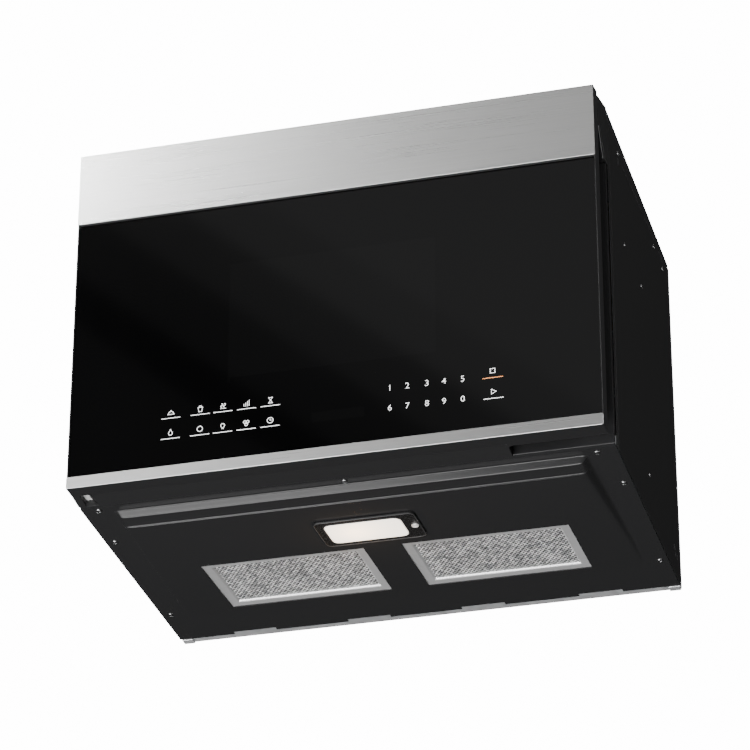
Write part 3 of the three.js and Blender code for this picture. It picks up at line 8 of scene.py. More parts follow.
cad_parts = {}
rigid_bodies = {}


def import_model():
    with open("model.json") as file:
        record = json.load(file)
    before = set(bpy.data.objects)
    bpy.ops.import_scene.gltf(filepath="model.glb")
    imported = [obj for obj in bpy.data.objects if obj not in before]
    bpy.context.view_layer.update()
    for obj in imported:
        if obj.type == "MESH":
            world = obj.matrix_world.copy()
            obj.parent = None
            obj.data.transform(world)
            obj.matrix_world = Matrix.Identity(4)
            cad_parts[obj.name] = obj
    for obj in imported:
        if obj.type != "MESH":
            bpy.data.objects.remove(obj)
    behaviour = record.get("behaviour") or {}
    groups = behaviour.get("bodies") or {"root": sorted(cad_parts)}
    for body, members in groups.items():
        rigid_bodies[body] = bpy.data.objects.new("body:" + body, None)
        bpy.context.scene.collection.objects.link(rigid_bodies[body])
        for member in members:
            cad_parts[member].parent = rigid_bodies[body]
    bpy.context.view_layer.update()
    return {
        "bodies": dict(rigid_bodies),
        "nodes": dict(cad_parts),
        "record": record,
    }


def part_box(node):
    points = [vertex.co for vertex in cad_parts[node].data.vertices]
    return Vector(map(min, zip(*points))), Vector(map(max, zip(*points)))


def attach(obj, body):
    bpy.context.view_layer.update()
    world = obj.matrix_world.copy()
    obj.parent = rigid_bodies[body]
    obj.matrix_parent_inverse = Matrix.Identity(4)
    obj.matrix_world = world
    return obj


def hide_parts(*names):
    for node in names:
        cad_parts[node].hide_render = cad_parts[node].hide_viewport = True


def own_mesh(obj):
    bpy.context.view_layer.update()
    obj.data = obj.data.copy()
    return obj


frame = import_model()
nodes = frame["nodes"]
bodyOf = {node: body for body, obj in frame["bodies"].items() for node in nodes if nodes[node].parent == obj}

# Millimetres from the door's face (y), the case's underside (z) and its middle (x).
mm = 0.001
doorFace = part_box("top_band")[0].y
caseLow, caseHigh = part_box("outer_case")
underside = caseLow.z
caseFrame = Matrix.Translation((0, doorFace, underside)) @ Matrix.Diagonal((mm, mm, mm, 1))
halfCase = caseHigh.x / mm


class Signal:
    def __init__(self, look, socket):
        self.look = look
        self.socket = socket

    def maths(self, operation, *values):
        return self.look.node("ShaderNodeMath", {"operation": operation}, dict(enumerate(values)))

    def __add__(self, other):
        return self.maths("ADD", self, other)

    def __radd__(self, other):
        return self.maths("ADD", other, self)

    def __sub__(self, other):
        return self.maths("SUBTRACT", self, other)

    def __rsub__(self, other):
        return self.maths("SUBTRACT", other, self)

    def __mul__(self, other):
        return self.maths("MULTIPLY", self, other)

    def __rmul__(self, other):
        return self.maths("MULTIPLY", other, self)

    def __gt__(self, other):
        return self.maths("GREATER_THAN", self, other)

    def __lt__(self, other):
        return self.maths("LESS_THAN", self, other)


class Wiring:
    def __init__(self, tree):
        self.tree = tree

    def node(self, kind, settings=None, values=None, output=0):
        made = self.tree.nodes.new(kind)
        for key, value in (settings or {}).items():
            if key == "stops":
                ramp = made.color_ramp
                while len(ramp.elements) < len(value):
                    ramp.elements.new(1)
                for element, (position, tone) in zip(ramp.elements, value):
                    element.position = position
                    element.color = (tone, tone, tone, 1)
            else:
                setattr(made, key, value)
        for socket, value in (values or {}).items():
            if isinstance(value, Signal):
                self.tree.links.new(value.socket, made.inputs[socket])
            else:
                made.inputs[socket].default_value = value
        return Signal(self, made.outputs[output])


class Look(Wiring):
    def __init__(self, name, colour, roughness, metallic=0.0, **fixed):
        self.material = bpy.data.materials.new(name)
        self.material.use_nodes = True
        super().__init__(self.material.node_tree)
        self.shader = self.tree.nodes["Principled BSDF"]
        self.set("Base Color", (*colour, 1))
        self.set("Roughness", roughness)
        self.set("Metallic", metallic)
        for socket, value in fixed.items():
            self.set(socket.replace("_", " "), value)

    def set(self, socket, value):
        if isinstance(value, Signal):
            self.tree.links.new(value.socket, self.shader.inputs[socket])
        else:
            self.shader.inputs[socket].default_value = value

    def place(self, scale=(1, 1, 1), shift=(0, 0, 0)):
        spot = self.node("ShaderNodeTexCoord", output="Object")
        return self.node("ShaderNodeMapping", {}, {"Vector": spot, "Scale": scale, "Location": shift})

    def noise(self, scale, spread=(1, 1, 1), detail=2.0, roughness=0.5):
        return self.node("ShaderNodeTexNoise", {}, {
            "Vector": self.place(spread), "Scale": scale, "Detail": detail, "Roughness": roughness})

    # A random tone for every small cell.
    def flecks(self, scale):
        cells = self.node("ShaderNodeTexVoronoi", {}, {"Vector": self.place(), "Scale": scale},
                          output="Color")
        return self.node("ShaderNodeRGBToBW", {}, {"Color": cells})

    # Inputs 6 and 7 are the two colours, and output 2 is the mixed one.
    def blend(self, share, first, second):
        return self.node("ShaderNodeMix", {"data_type": "RGBA"}, {
            "Factor": share, 6: (*first, 1), 7: (*second, 1)}, output=2)

    def roughen(self, level, grain, spread):
        self.set("Roughness", level + grain * spread)

    def bump(self, height, strength, distance=0.0002):
        self.set("Normal", self.node("ShaderNodeBump", {}, {
            "Height": height, "Strength": strength, "Distance": distance}))


def blackPaint(name="black_paint", level=0.0145, gloss=0.3, coolness=1.03):
    look = Look(name, (level, level, level * coolness), roughness=0.4, Specular_IOR_Level=0.3)
    grain = look.noise(scale=900, detail=3)
    look.roughen(gloss, grain, spread=0.12)
    look.bump(grain, strength=0.12)
    return look


def blackPlastic():
    look = Look("black_plastic", (0.0155, 0.0155, 0.016), roughness=0.5, Specular_IOR_Level=0.3)
    grain = look.noise(scale=1400, detail=2)
    look.roughen(0.42, grain, spread=0.14)
    look.bump(grain, strength=0.15)
    return look


def brushedSteel():
    look = Look("stainless", (0.56, 0.56, 0.555), roughness=0.3, metallic=1.0)
    lines = look.noise(scale=650, spread=(0.006, 1, 1), detail=4, roughness=0.65)
    patches = look.noise(scale=9, spread=(0.25, 1, 1))
    look.set("Base Color", look.blend(lines, (0.50, 0.50, 0.495), (0.63, 0.63, 0.625)))
    look.roughen(0.22 + lines * 0.08, patches, spread=0.05)
    look.bump(lines, strength=0.08)
    return look


# Window, its left edge and the readout, as areas x0, x1, z0, z1 of the glass. There the glass is painted a
# shade lighter: painted light standing in for the inside seen through it.
seenThrough = {"areas": [(-118, 117, 113, 257), (-118.5, -116, 107, 216), (-22, 37, 45, 57)],
               "tint": (0.0005, 0.0005, 0.0006), "painted_through_light": (0.0011, 0.0011, 0.0012)}


def blackGlass():
    look = Look("dark_glass", (0.0006, 0.0006, 0.0007), roughness=0.06)
    haze = look.noise(scale=14, spread=(1, 1, 0.4))
    look.roughen(0.045, haze, spread=0.03)
    spot = look.node("ShaderNodeSeparateXYZ", {}, {"Vector": look.place()})
    x, z = spot, Signal(look, spot.socket.node.outputs["Z"])
    shown = 0
    for x0, x1, z0, z1 in seenThrough["areas"]:
        low, high = underside + z0 * mm, underside + z1 * mm
        shown = shown + (x > x0 * mm) * (x < x1 * mm) * (z > low) * (z < high)
    # The areas take the lighter tone, painted light for what shows through the glass.
    look.set("Base Color", look.blend(shown, seenThrough["tint"], seenThrough["painted_through_light"]))
    return look


def zincSheet():
    look = Look("zinc_sheet", (0.7, 0.71, 0.72), roughness=0.4, metallic=0.65)
    tone = look.flecks(110.0)
    look.set("Base Color", look.blend(tone, (0.62, 0.63, 0.64), (0.78, 0.79, 0.8)))
    look.roughen(0.36, tone, spread=0.15)
    return look


def plainMetal(name, colour, roughness, metallic=1.0, spread=0.12):
    look = Look(name, colour, roughness, metallic)
    grain = look.noise(scale=700, detail=2)
    look.roughen(roughness - spread / 2, grain, spread)
    return look


def aluminium():
    look = Look("aluminium", (0.68, 0.68, 0.685), roughness=0.42, metallic=0.6)
    lines = look.noise(scale=300, spread=(0.05, 1, 1), detail=3)
    look.set("Base Color", look.blend(lines, (0.63, 0.63, 0.635), (0.73, 0.73, 0.735)))
    look.roughen(0.36, lines, spread=0.16)
    return look


# Thin strands stamped out of aluminium sheet: each small stretch leans its own way, and each small cell is
# also painted its own tone from grey to white, a painted glint.
def meshPaintedGlints(middle=0.3, contrast=2.4):
    look = Look("aluminium_mesh", (0.97, 0.97, 0.975), roughness=0.35, metallic=0.2)
    tone = look.flecks(260.0)
    look.set("Base Color", look.blend((tone - middle) * contrast, (0.36, 0.36, 0.365), (1.0, 1.0, 1.0)))
    look.roughen(0.25, tone, spread=0.2)
    return look


def plainSolid(name, colour, roughness, depth=0.1, scale=600, spread=0.1, darker=0.9, lighter=1.08):
    look = Look(name, colour, roughness)
    grain = look.noise(scale, detail=2)
    dark = tuple(c * darker for c in colour)
    light = tuple(min(1, c * lighter) for c in colour)
    look.set("Base Color", look.blend(grain, dark, light))
    look.roughen(roughness - spread / 2, grain, spread)
    look.bump(grain, depth)
    return look


def enamel():
    look = Look("enamel", (0.3, 0.3, 0.295), roughness=0.3, Coat_Weight=0.4, Coat_Roughness=0.15)
    speck = look.node("ShaderNodeTexVoronoi", {}, {"Vector": look.place(), "Scale": 420.0})
    mask = look.node("ShaderNodeValToRGB", {"stops": [(0.1, 1.0), (0.24, 0.0)]}, {"Fac": speck})
    look.set("Base Color", look.blend(mask, (0.31, 0.31, 0.305), (0.12, 0.12, 0.12)))
    return look


def clearGlass():
    look = Look("clear_glass", (0.93, 0.97, 0.96), roughness=0.03, Transmission_Weight=1.0, IOR=1.47)
    haze = look.noise(scale=30)
    look.roughen(0.02, haze, spread=0.03)
    return look


# The hood lamp: its hot spot from the lens's middle, and light that leaks onto the paint round it.
lampGlow = {
    "strength": 60.0, "middle": (1.0, 0.95, 0.86), "edge": (0.034, 0.031, 0.027), "spot": (-14, 0),
    "stretch": 1.5, "reach": 1.25, "leak": (1.0, 0.62, 0.3), "leakPower": 0.12, "leakSize": 0.01,
    "leakShift": (-12, 0, -30),
}


def litLens(middle, halfWidth):
    look = Look("lens", (0.9, 0.87, 0.8), roughness=0.35, Emission_Strength=lampGlow["strength"])
    x, y = middle.x + lampGlow["spot"][0] * mm, middle.y + lampGlow["spot"][1] * mm
    stretch = lampGlow["stretch"]
    spot = look.place((1, stretch, 1), (-x, -y * stretch, 0))
    away = look.node("ShaderNodeVectorMath", {"operation": "LENGTH"}, {0: spot}, output="Value")
    fall = look.node("ShaderNodeMapRange", {}, {
        "Value": away, "From Min": 0.0, "From Max": halfWidth * lampGlow["reach"],
        "To Min": 0.0, "To Max": 1.0})
    look.set("Emission Color", look.blend(fall, lampGlow["middle"], lampGlow["edge"]))
    ripple = look.noise(scale=500)
    look.bump(ripple, strength=0.2, distance=0.0003)
    return look


# Print that glows: its emission is painted light, for the marks are no lamp.
def printWithPaintedGlow(name, colour, worn=0.93):
    look = Look(name, colour, roughness=0.5, Emission_Strength=0.8)
    wear = look.noise(scale=800)
    look.set("Base Color", look.blend(wear, tuple(c * worn for c in colour), colour))
    look.set("Emission Color", (*colour, 1))
    return look


def perforated(holesPerMetre=380):
    look = Look("screen", (0.02, 0.02, 0.02), roughness=0.45, metallic=0.6)
    spot = look.place((holesPerMetre, holesPerMetre, holesPerMetre))
    holes = look.node("ShaderNodeTexVoronoi", {}, {"Vector": spot, "Scale": 1.0, "Randomness": 0.0})
    look.set("Alpha", look.node("ShaderNodeValToRGB", {"stops": [(0.28, 0.0), (0.34, 1.0)]}, {"Fac": holes}))
    return look


lensLow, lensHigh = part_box("lamp_lens")
looks = {
    "black_paint": blackPaint(),
    "black_plastic": blackPlastic(),
    "stainless": brushedSteel(),
    "dark_glass": blackGlass(),
    "zinc_sheet": zincSheet(),
    "zinc_screw": plainMetal("zinc_screw", (0.66, 0.66, 0.65), 0.28),
    "enamel": enamel(),
    "aluminium": aluminium(),
    "clear_glass": clearGlass(),
    "lens": litLens((lensLow + lensHigh) / 2, (lensHigh.x - lensLow.x) / 2),
    "bulb_glass": plainSolid("bulb_glass", (0.9, 0.87, 0.8), 0.4),
    "white_plastic": plainSolid("white_plastic", (0.78, 0.77, 0.73), 0.45),
    "white_ceramic": plainSolid("white_ceramic", (0.8, 0.79, 0.75), 0.35),
    "copper": plainMetal("copper", (0.55, 0.24, 0.11), 0.35),
    "core_steel": plainMetal("core_steel", (0.16, 0.16, 0.165), 0.5),
    "circuit_board": plainSolid("circuit_board", (0.32, 0.22, 0.08), 0.5),
    "carbon": plainSolid("carbon", (0.012, 0.012, 0.012), 0.85, 0.5, 300),
    "mica": plainSolid("mica", (0.42, 0.38, 0.3), 0.5, 0.2, 200),
    "rubber": plainSolid("rubber", (0.018, 0.018, 0.018), 0.75),
}
darkScrew = plainMetal("dark_screw", (0.34, 0.34, 0.345), 0.3)
# The printed marks glow with painted light.
printedWhite = printWithPaintedGlow("printed_white_painted_glow", (0.86, 0.86, 0.86))
printedOrange = printWithPaintedGlow("printed_orange_painted_glow", (0.85, 0.33, 0.12))
screenSheet = perforated()
# The filters' mesh, with painted glints.
meshLook = meshPaintedGlints()
stampedPaint = blackPaint("stamped_paint", 0.0195, 0.16)
coverPlastic = blackPaint("cover_plastic", 0.013, 0.2)
# A much lighter black for the raised lips and pressed marks: a painted highlight along them.
lipPaintedHighlight = blackPaint("lip_plastic_painted_highlight", 0.05, 0.15)
# A lighter black for the door frame's sideways faces: painted light where the groove beside the case lies in
# shade.
sidePaintedLight = blackPaint("side_plastic_painted_light", 0.02, 0.4)
# Steel, half metal with a near-white base: the whiteness is a painted highlight on the lower hinge and the
# cover's screw.
steelPaintedHighlight = plainMetal("steel_painted_highlight", (0.95, 0.94, 0.92), 0.3, 0.5)
# A dark sheet behind the filters' mesh: painted shade for the inner layers.
paintedShadeSheet = plainSolid("inner_mesh_painted_shade", (0.02, 0.02, 0.02), 0.6, 0.4, 300)
slotOf = {s["node"]: s["material_slot"] for s in frame["record"]["subparts"]}
for name, node in nodes.items():
    node.data.materials.clear()
    node.data.materials.append(looks[slotOf[name]].material)
print("finishes made:", len(bpy.data.materials))


def addPiece(name, mesh, body, look, replaced=()):
    mesh.materials.clear()
    mesh.materials.append(look.material)
    obj = bpy.data.objects.new(name, mesh)
    bpy.context.scene.collection.objects.link(obj)
    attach(obj, body)
    if replaced:
        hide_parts(*replaced)
    return obj


# Sharp edges and flat faces in degrees, the gap that is welded in metres, the corners a face may keep.
easing = {"sharp": 35, "merge": 2e-6, "flat": 0.4, "corners": 4}


def finishMesh(name, shape, sharp=easing["sharp"]):
    bmesh.ops.recalc_face_normals(shape, faces=shape.faces)
    for face in shape.faces:
        face.smooth = True
    for edge in shape.edges:
        edge.smooth = len(edge.link_faces) == 2 and edge.calc_face_angle(0) < math.radians(sharp)
    mesh = bpy.data.meshes.new(name)
    shape.to_mesh(mesh)
    shape.free()
    return mesh


# A shape drawn in the millimetres of a frame, made into a piece.
def addShape(name, shape, where, body, look, replaced=(), sharp=easing["sharp"]):
    bmesh.ops.transform(shape, matrix=where, verts=shape.verts)
    addPiece(name, finishMesh(name, shape, sharp), body, look, replaced)


# The CAD solid again, its flat faces made whole and its corners eased.
def eased(node, bevel, segments=2, look=None):
    shape = bmesh.new()
    shape.from_mesh(nodes[node].data)
    bmesh.ops.remove_doubles(shape, verts=shape.verts, dist=easing["merge"])
    bmesh.ops.dissolve_limit(shape, angle_limit=math.radians(easing["flat"]), verts=shape.verts,
                             edges=shape.edges)
    # A long thin rim or a face with a bay would be filled across by the bevel.
    wide = [face for face in shape.faces if len(face.verts) > easing["corners"]]
    bmesh.ops.triangulate(shape, faces=wide)
    obj = addPiece(node + "_eased", finishMesh(node, shape), bodyOf[node],
                   look or looks[slotOf[node]], [node])
    if bevel:
        ease = obj.modifiers.new("ease", "BEVEL")
        ease.width = bevel * mm
        ease.segments = segments
        ease.limit_method = "ANGLE"
        ease.angle_limit = math.radians(easing["sharp"])
        ease.use_clamp_overlap = False
        ease.harden_normals = True
    level = obj.modifiers.new("level", "WEIGHTED_NORMAL")
    level.keep_sharp = True


# A second finish on a piece, for its faces that look sideways or for all the others.
def secondFinish(name, look, sideways, least=0.7):
    mesh = bpy.data.objects[name].data
    mesh.materials.append(look.material)
    for face in mesh.polygons:
        face.material_index = int((abs(face.normal.x) > least) == sideways)


# Rings of points joined into a closed skin; each ring has the same number of points.
def lofted(rings, closed=True):
    shape = bmesh.new()
    loops = [[shape.verts.new(point) for point in ring] for ring in rings]
    count = len(loops[0])
    steps = list(zip(loops, loops[1:])) + ([(loops[-1], loops[0])] if closed else [])
    for low, high in steps:
        for i in range(count):
            j = (i + 1) % count
            shape.faces.new((low[i], low[j], high[j], high[i]))
    if not closed:
        shape.faces.new(loops[0][::-1])
        shape.faces.new(loops[-1])
    return shape


# Rings round an upright axis, from a profile of radius and height.
def revolved(profile, centre, steps):
    angles = [2 * math.pi * i / steps for i in range(steps)]
    return [[centre + Vector((radius * math.cos(a), radius * math.sin(a), height)) for a in angles]
            for radius, height in profile]


def rectangleRing(x0, x1, y0, y1, inset, z):
    return [Vector((x0 + inset, y0 + inset, z)), Vector((x1 - inset, y0 + inset, z)),
            Vector((x1 - inset, y1 - inset, z)), Vector((x0 + inset, y1 - inset, z))]


# A rounded rectangle's outline, seen from below.
def roundedRing(x0, x1, y0, y1, radius, z, steps=5):
    corners = [(x1 - radius, y0 + radius, -90), (x1 - radius, y1 - radius, 0),
               (x0 + radius, y1 - radius, 90), (x0 + radius, y0 + radius, 180)]
    return [Vector((cx + radius * math.cos(math.radians(start + 90 * i / steps)),
                    cy + radius * math.sin(math.radians(start + 90 * i / steps)), z))
            for cx, cy, start in corners for i in range(steps + 1)]


print("tools ready")

caseParts = {
    "outer_case": 0.3, "back_panel": 0.25, "front_frame": 0.25, "cord_gland": 0.3, "vent_grille": 0.25,
    "vent_deflector": 0.2, "cavity_liner": 0, "lower_hinge": 0.3, "upper_hinge": 0.3, "chassis_plate": 0,
    "lamp_housing": 0.25, "filter_rails": 0.2,
}
# The lower hinge takes the near-white steel, a painted highlight.
for node, bevel in caseParts.items():
    eased(node, bevel, look=steelPaintedHighlight if node == "lower_hinge" else None)

# All the deflector's faces but its cut ends take the black paint; the ends keep the sheet's own finish.
secondFinish("vent_deflector_eased", looks["black_paint"], sideways=False)

# The stamped base: one sheet drawn as heights over a grid that is finer where it bends.
stamping = {
    "sheet": 1.0, "half": 301.7, "front": 69.5, "step": 91.0, "stepRun": 1.0, "rear": 365.0, "back": 421.0,
    "halfFront": 266.0, "halfRear": 275.0, "shelf": 8.3, "shelfFall": 1.8, "drop": 12.0, "slope": 2.6,
    "ease": 0.8, "sideSlope": 2.0, "sideEase": 4.0,
    "fineX": (250, 272), "fineY": (67, 95), "stepsX": (0.6, 14), "stepsY": (0.45, 10),
    "carried": (237, 248, 276, 296),
    "holes": [(-55, 55, 135, 196), (-214, -22, 219, 346), (22, 214, 219, 346)],
    "notches": [-209, -69, 69, 209], "notchHalf": 26, "notchFront": 415,
    "fold": [(49.0, 12.0), (49.0, 7.0), (49.0, 3.0), (49.0, 0.6), (49.2, 0.2), (49.6, 0.0)],
    "armNotch": (-297, -283, 3, 7), "sharp": 50,
}


# How much further out the tray's side walls stand at y than at the front.
def wallSpread(y):
    s = stamping
    return (s["halfRear"] - s["halfFront"]) * max(0, y - s["front"]) / (s["rear"] - s["front"])


# Grid lines near the side walls are carried along with them.
def carriedX(x, y):
    start, full, level, end = stamping["carried"]
    share = min(1, max(0, (abs(x) - start) / (full - start)), max(0, (end - abs(x)) / (end - level)))
    return x + math.copysign(wallSpread(y) * share, x)


# The lower of two heights, rounded where they cross and where the wall meets zero.
def easedLow(height, wall, ease):
    wall = (wall + math.hypot(wall, ease)) / 2
    return max(0, (height + wall - math.hypot(height - wall, ease)) / 2)


def stampDepth(x, y):
    s = stamping
    ramp = s["drop"] * max(0, s["rear"] - y) / (s["rear"] - s["step"])
    over = min(1, max(0, (y - s["step"]) / s["stepRun"]))
    shelf = s["shelf"] + s["shelfFall"] * min(1, max(0, (y - s["front"]) / (s["step"] - s["front"])))
    floor = shelf + (ramp - shelf) * over * over * (3 - 2 * over)
    front = easedLow(floor, s["slope"] * (y - s["front"]), s["ease"])
    return easedLow(front, s["sideSlope"] * (s["halfFront"] + wallSpread(y) - abs(x)), s["sideEase"])


def gridLines(low, high, fixed, fine, fineStep, coarseStep):
    lines = sorted({low, high, *fixed})
    filled = [low]
    for start, end in zip(lines, lines[1:]):
        middle = (start + end) / 2
        step = fineStep if any(a <= middle <= b for a, b in fine) else coarseStep
        count = max(1, round((end - start) / step))
        filled += [start + (end - start) * (i + 1) / count for i in range(count)]
    return filled


def stampedBase():
    s = stamping
    near, far = s["fineX"]
    holes = s["holes"] + [(x - s["notchHalf"], x + s["notchHalf"], s["notchFront"], s["back"])
                          for x in s["notches"]]
    edgesX = [near, far, -near, -far, *(x for hole in holes for x in hole[:2]), *s["armNotch"][:2]]
    edgesY = [*s["fineY"], *(y for hole in holes for y in hole[2:])]
    edgesX += [side * x for side in (-1, 1) for x in s["carried"]]
    xs = gridLines(-s["half"], s["half"], edgesX, [(near, far), (-far, -near)], *s["stepsX"])
    ys = gridLines(s["fold"][-1][0], s["back"], edgesY, [s["fineY"]], *s["stepsY"])
    rows = [[(x, y, z) for x in xs] for y, z in s["fold"][:-1]]
    for y in ys:
        across = [carriedX(x, y) for x in xs]
        rows.append([(x, y, -stampDepth(x, y)) for x in across])
    shape = bmesh.new()
    points = [[shape.verts.new(point) for point in row] for row in rows]
    armLeft, armRight, armLow, armHigh = s["armNotch"]
    for front, back in zip(points, points[1:]):
        for i in range(len(xs) - 1):
            x = (xs[i] + xs[i + 1]) / 2
            y = (front[i].co.y + back[i].co.y) / 2
            z = (front[i].co.z + back[i].co.z) / 2
            inHole = any(x0 < x < x1 and y0 < y < y1 for x0, x1, y0, y1 in holes)
            inArm = armLeft < x < armRight and armLow < z < armHigh
            if not inHole and not inArm:
                shape.faces.new((front[i], back[i], back[i + 1], front[i + 1]))
    bmesh.ops.delete(shape, geom=[v for v in shape.verts if not v.link_faces], context="VERTS")
    bmesh.ops.solidify(shape, geom=shape.faces[:], thickness=s["sheet"])
    addShape("base_stamping", shape, caseFrame, bodyOf["base_panel"], stampedPaint,
             ["base_panel"], s["sharp"])


stampedBase()
print("case dressed")

doorParts = {
    "door_frame": 0.3, "door_glass": 0.3, "top_band": 0.25, "bottom_trim": 0.3, "choke_cover": 0.25,
    "door_inner_panel": 0.3, "door_latch": 0.3,
}
for node, bevel in doorParts.items():
    eased(node, bevel)
nodes["window_screen"].data.materials[0] = screenSheet.material
# The door frame's sideways faces take the lighter black, painted light in the shaded groove.
secondFinish("door_frame_eased", sidePaintedLight, sideways=True)

# The rubber line in the gap under the band.
gasket = {"half": 298.5, "front": 0.5, "back": 4.0, "high": 0.45}
bandFoot = (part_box("top_band")[0].z - underside) / mm
rubber = bmesh.new()
middle = Matrix.Translation((0, (gasket["front"] + gasket["back"]) / 2, bandFoot - gasket["high"] / 2))
bmesh.ops.create_cube(rubber, size=1, matrix=middle @ Matrix.Diagonal(
    (gasket["half"] * 2, gasket["back"] - gasket["front"], gasket["high"], 1)))
addShape("band_gasket", rubber, caseFrame, "door", looks["rubber"])
print("door dressed")


# The latch spring as round wire; its upper end stays and the bar squeezes it in the real latch, while this
# coil is only drawn at rest.
spring = {"wire": 0.45, "turns": 8, "steps": 24, "sides": 8, "flat": 0.8, "sharp": 60, "keep": 0.784}


def latchSpring():
    s = spring
    low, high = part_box("latch_spring")
    middle = (low + high) / 2
    wire = s["wire"] * mm
    radius = (high.x - low.x) / 2 - wire
    rings = []
    for i in range(s["turns"] * s["steps"] + 1):
        turn = i / s["steps"]
        share = min(1, max(0, (turn - s["flat"]) / (s["turns"] - 2 * s["flat"])))
        angle = 2 * math.pi * turn
        out = Vector((math.cos(angle), math.sin(angle), 0))
        at = Vector((middle.x, middle.y, low.z + wire + share * (high.z - low.z - 2 * wire))) + out * radius
        rings.append([at + out * wire * math.cos(a) + Vector((0, 0, wire * math.sin(a)))
                      for a in (2 * math.pi * k / s["sides"] for k in range(s["sides"]))])
    coil = finishMesh("latch_spring_wire", lofted(rings, closed=False), s["sharp"])
    piece = addPiece("latch_spring_wire", coil, bodyOf["latch_spring"], looks[slotOf["latch_spring"]],
                     ["latch_spring"])
    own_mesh(piece)


latchSpring()

# Printed marks, drawn in x, z and lifted just in front of the glass.
printing = {"lift": 0.06, "digit": 7.2, "digitToFont": 1.42, "bold": 0.02, "curveSteps": 4,
            "stroke": 0.75, "mark": 7.4, "line": 0.95}
glassFace = (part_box("door_glass")[0].y - doorFace) / mm


def printedMesh(name, shape, look):
    mesh = bpy.data.meshes.new(name)
    shape.to_mesh(mesh)
    shape.free()
    mesh.transform(caseFrame @ Matrix.Translation((0, glassFace - printing["lift"], 0)))
    addPiece(name, mesh, "door", look)


# A ribbon along points in x, z.
def ribbon(shape, points, width):
    half = width / 2
    for (x0, z0), (x1, z1) in zip(points, points[1:]):
        along = Vector((x1 - x0, 0, z1 - z0)).normalized() * half
        side = Vector((-along.z, 0, along.x))
        start, end = Vector((x0, 0, z0)) - along, Vector((x1, 0, z1)) + along
        shape.faces.new([shape.verts.new(p) for p in (start - side, end - side, end + side, start + side)])


def arc(cx, cz, radius, start, end, steps=14):
    angles = [math.radians(start + (end - start) * i / steps) for i in range(steps + 1)]
    return [(cx + radius * math.cos(a), cz + radius * math.sin(a)) for a in angles]


# Small pictures for the keys, in a square from -1 to 1.
keyMarks = {
    "dish": [[(-1, -0.6), (1, -0.6)], arc(0, -0.45, 0.8, 0, 180), [(0, 0.45), (0, 0.75)]],
    "drop": [arc(0, -0.3, 0.6, 150, 390), [(-0.52, 0.0), (0, 1)], [(0.52, 0.0), (0, 1)]],
    "cup": [[(-0.7, 0.5), (-0.45, -0.9), (0.45, -0.9), (0.7, 0.5), (-0.7, 0.5)], arc(0, 0.6, 0.4, 0, 180)],
    "ring": [arc(0, 0, 0.85, 60, 400), [(0.1, 0.95), (0.5, 0.65)]],
    "steam": [[(-0.8, -0.8), (0.8, -0.8)], arc(-0.4, -0.1, 0.3, 90, 270), arc(-0.4, 0.5, 0.3, -90, 90),
              arc(0.4, -0.1, 0.3, 90, 270), arc(0.4, 0.5, 0.3, -90, 90)],
    "lamp": [arc(0, 0.2, 0.6, -50, 230), [(-0.3, -0.55), (0.3, -0.55)], [(-0.25, -0.85), (0.25, -0.85)]],
    "bars": [[(-0.8, -0.9), (-0.8, -0.3)], [(-0.27, -0.9), (-0.27, 0.1)], [(0.27, -0.9), (0.27, 0.5)],
             [(0.8, -0.9), (0.8, 0.9)]],
    "fan": [arc(0.42, 0.42, 0.42, 0, 360), arc(-0.42, 0.42, 0.42, 0, 360), arc(0, -0.45, 0.42, 0, 360)],
    "glass": [[(-0.6, 0.9), (0.6, 0.9), (-0.6, -0.9), (0.6, -0.9), (-0.6, 0.9)]],
    "clock": [arc(0, 0, 0.9, 0, 360, 20), [(0, 0.5), (0, 0), (0.4, 0)]],
    "stop": [[(-0.7, -0.7), (0.7, -0.7), (0.7, 0.7), (-0.7, 0.7), (-0.7, -0.7)]],
    "start": [[(-0.6, -0.8), (0.8, 0), (-0.6, 0.8), (-0.6, -0.8)]],
}
keyRows = {
    "upper": {"line": 72.0, "mark": 78.8, "keys": ["dish", "cup", "steam", "bars", "glass"]},
    "lower": {"line": 46.8, "mark": 54.2, "keys": ["drop", "ring", "lamp", "fan", "clock"]},
}
keyColumns = [-182.6, -149.0, -122.9, -96.1, -68.9]
keyLine = 21.0
digitRows = {"12345": 76.0, "67890": 51.6}
digitColumns = [65.6, 85.1, 106.9, 125.9, 146.6]
actionKeys = {
    "stop": {"x": 179.8, "mark": 81.0, "line": 72.6, "look": printedOrange},
    "start": {"x": 180.4, "mark": 55.6, "line": 47.4, "look": printedWhite},
}
actionLine = 21.5


def keyMark(shape, name, x, z):
    half = printing["mark"] / 2
    for stroke in keyMarks[name]:
        ribbon(shape, [(x + px * half, z + pz * half) for px, pz in stroke], printing["stroke"])


def underline(shape, x, z, length):
    ribbon(shape, [(x - length / 2, z), (x + length / 2, z)], printing["line"])


marks = bmesh.new()
for row in keyRows.values():
    for x, name in zip(keyColumns, row["keys"]):
        keyMark(marks, name, x, row["mark"])
        underline(marks, x, row["line"], keyLine)
for name, key in actionKeys.items():
    keyMark(marks, name, key["x"], key["mark"])
    if key["look"] is printedWhite:
        underline(marks, key["x"], key["line"], actionLine)
    else:
        coloured = bmesh.new()
        underline(coloured, key["x"], key["line"], actionLine)
        printedMesh(name + "_line", coloured, key["look"])
printedMesh("key_marks", marks, printedWhite)


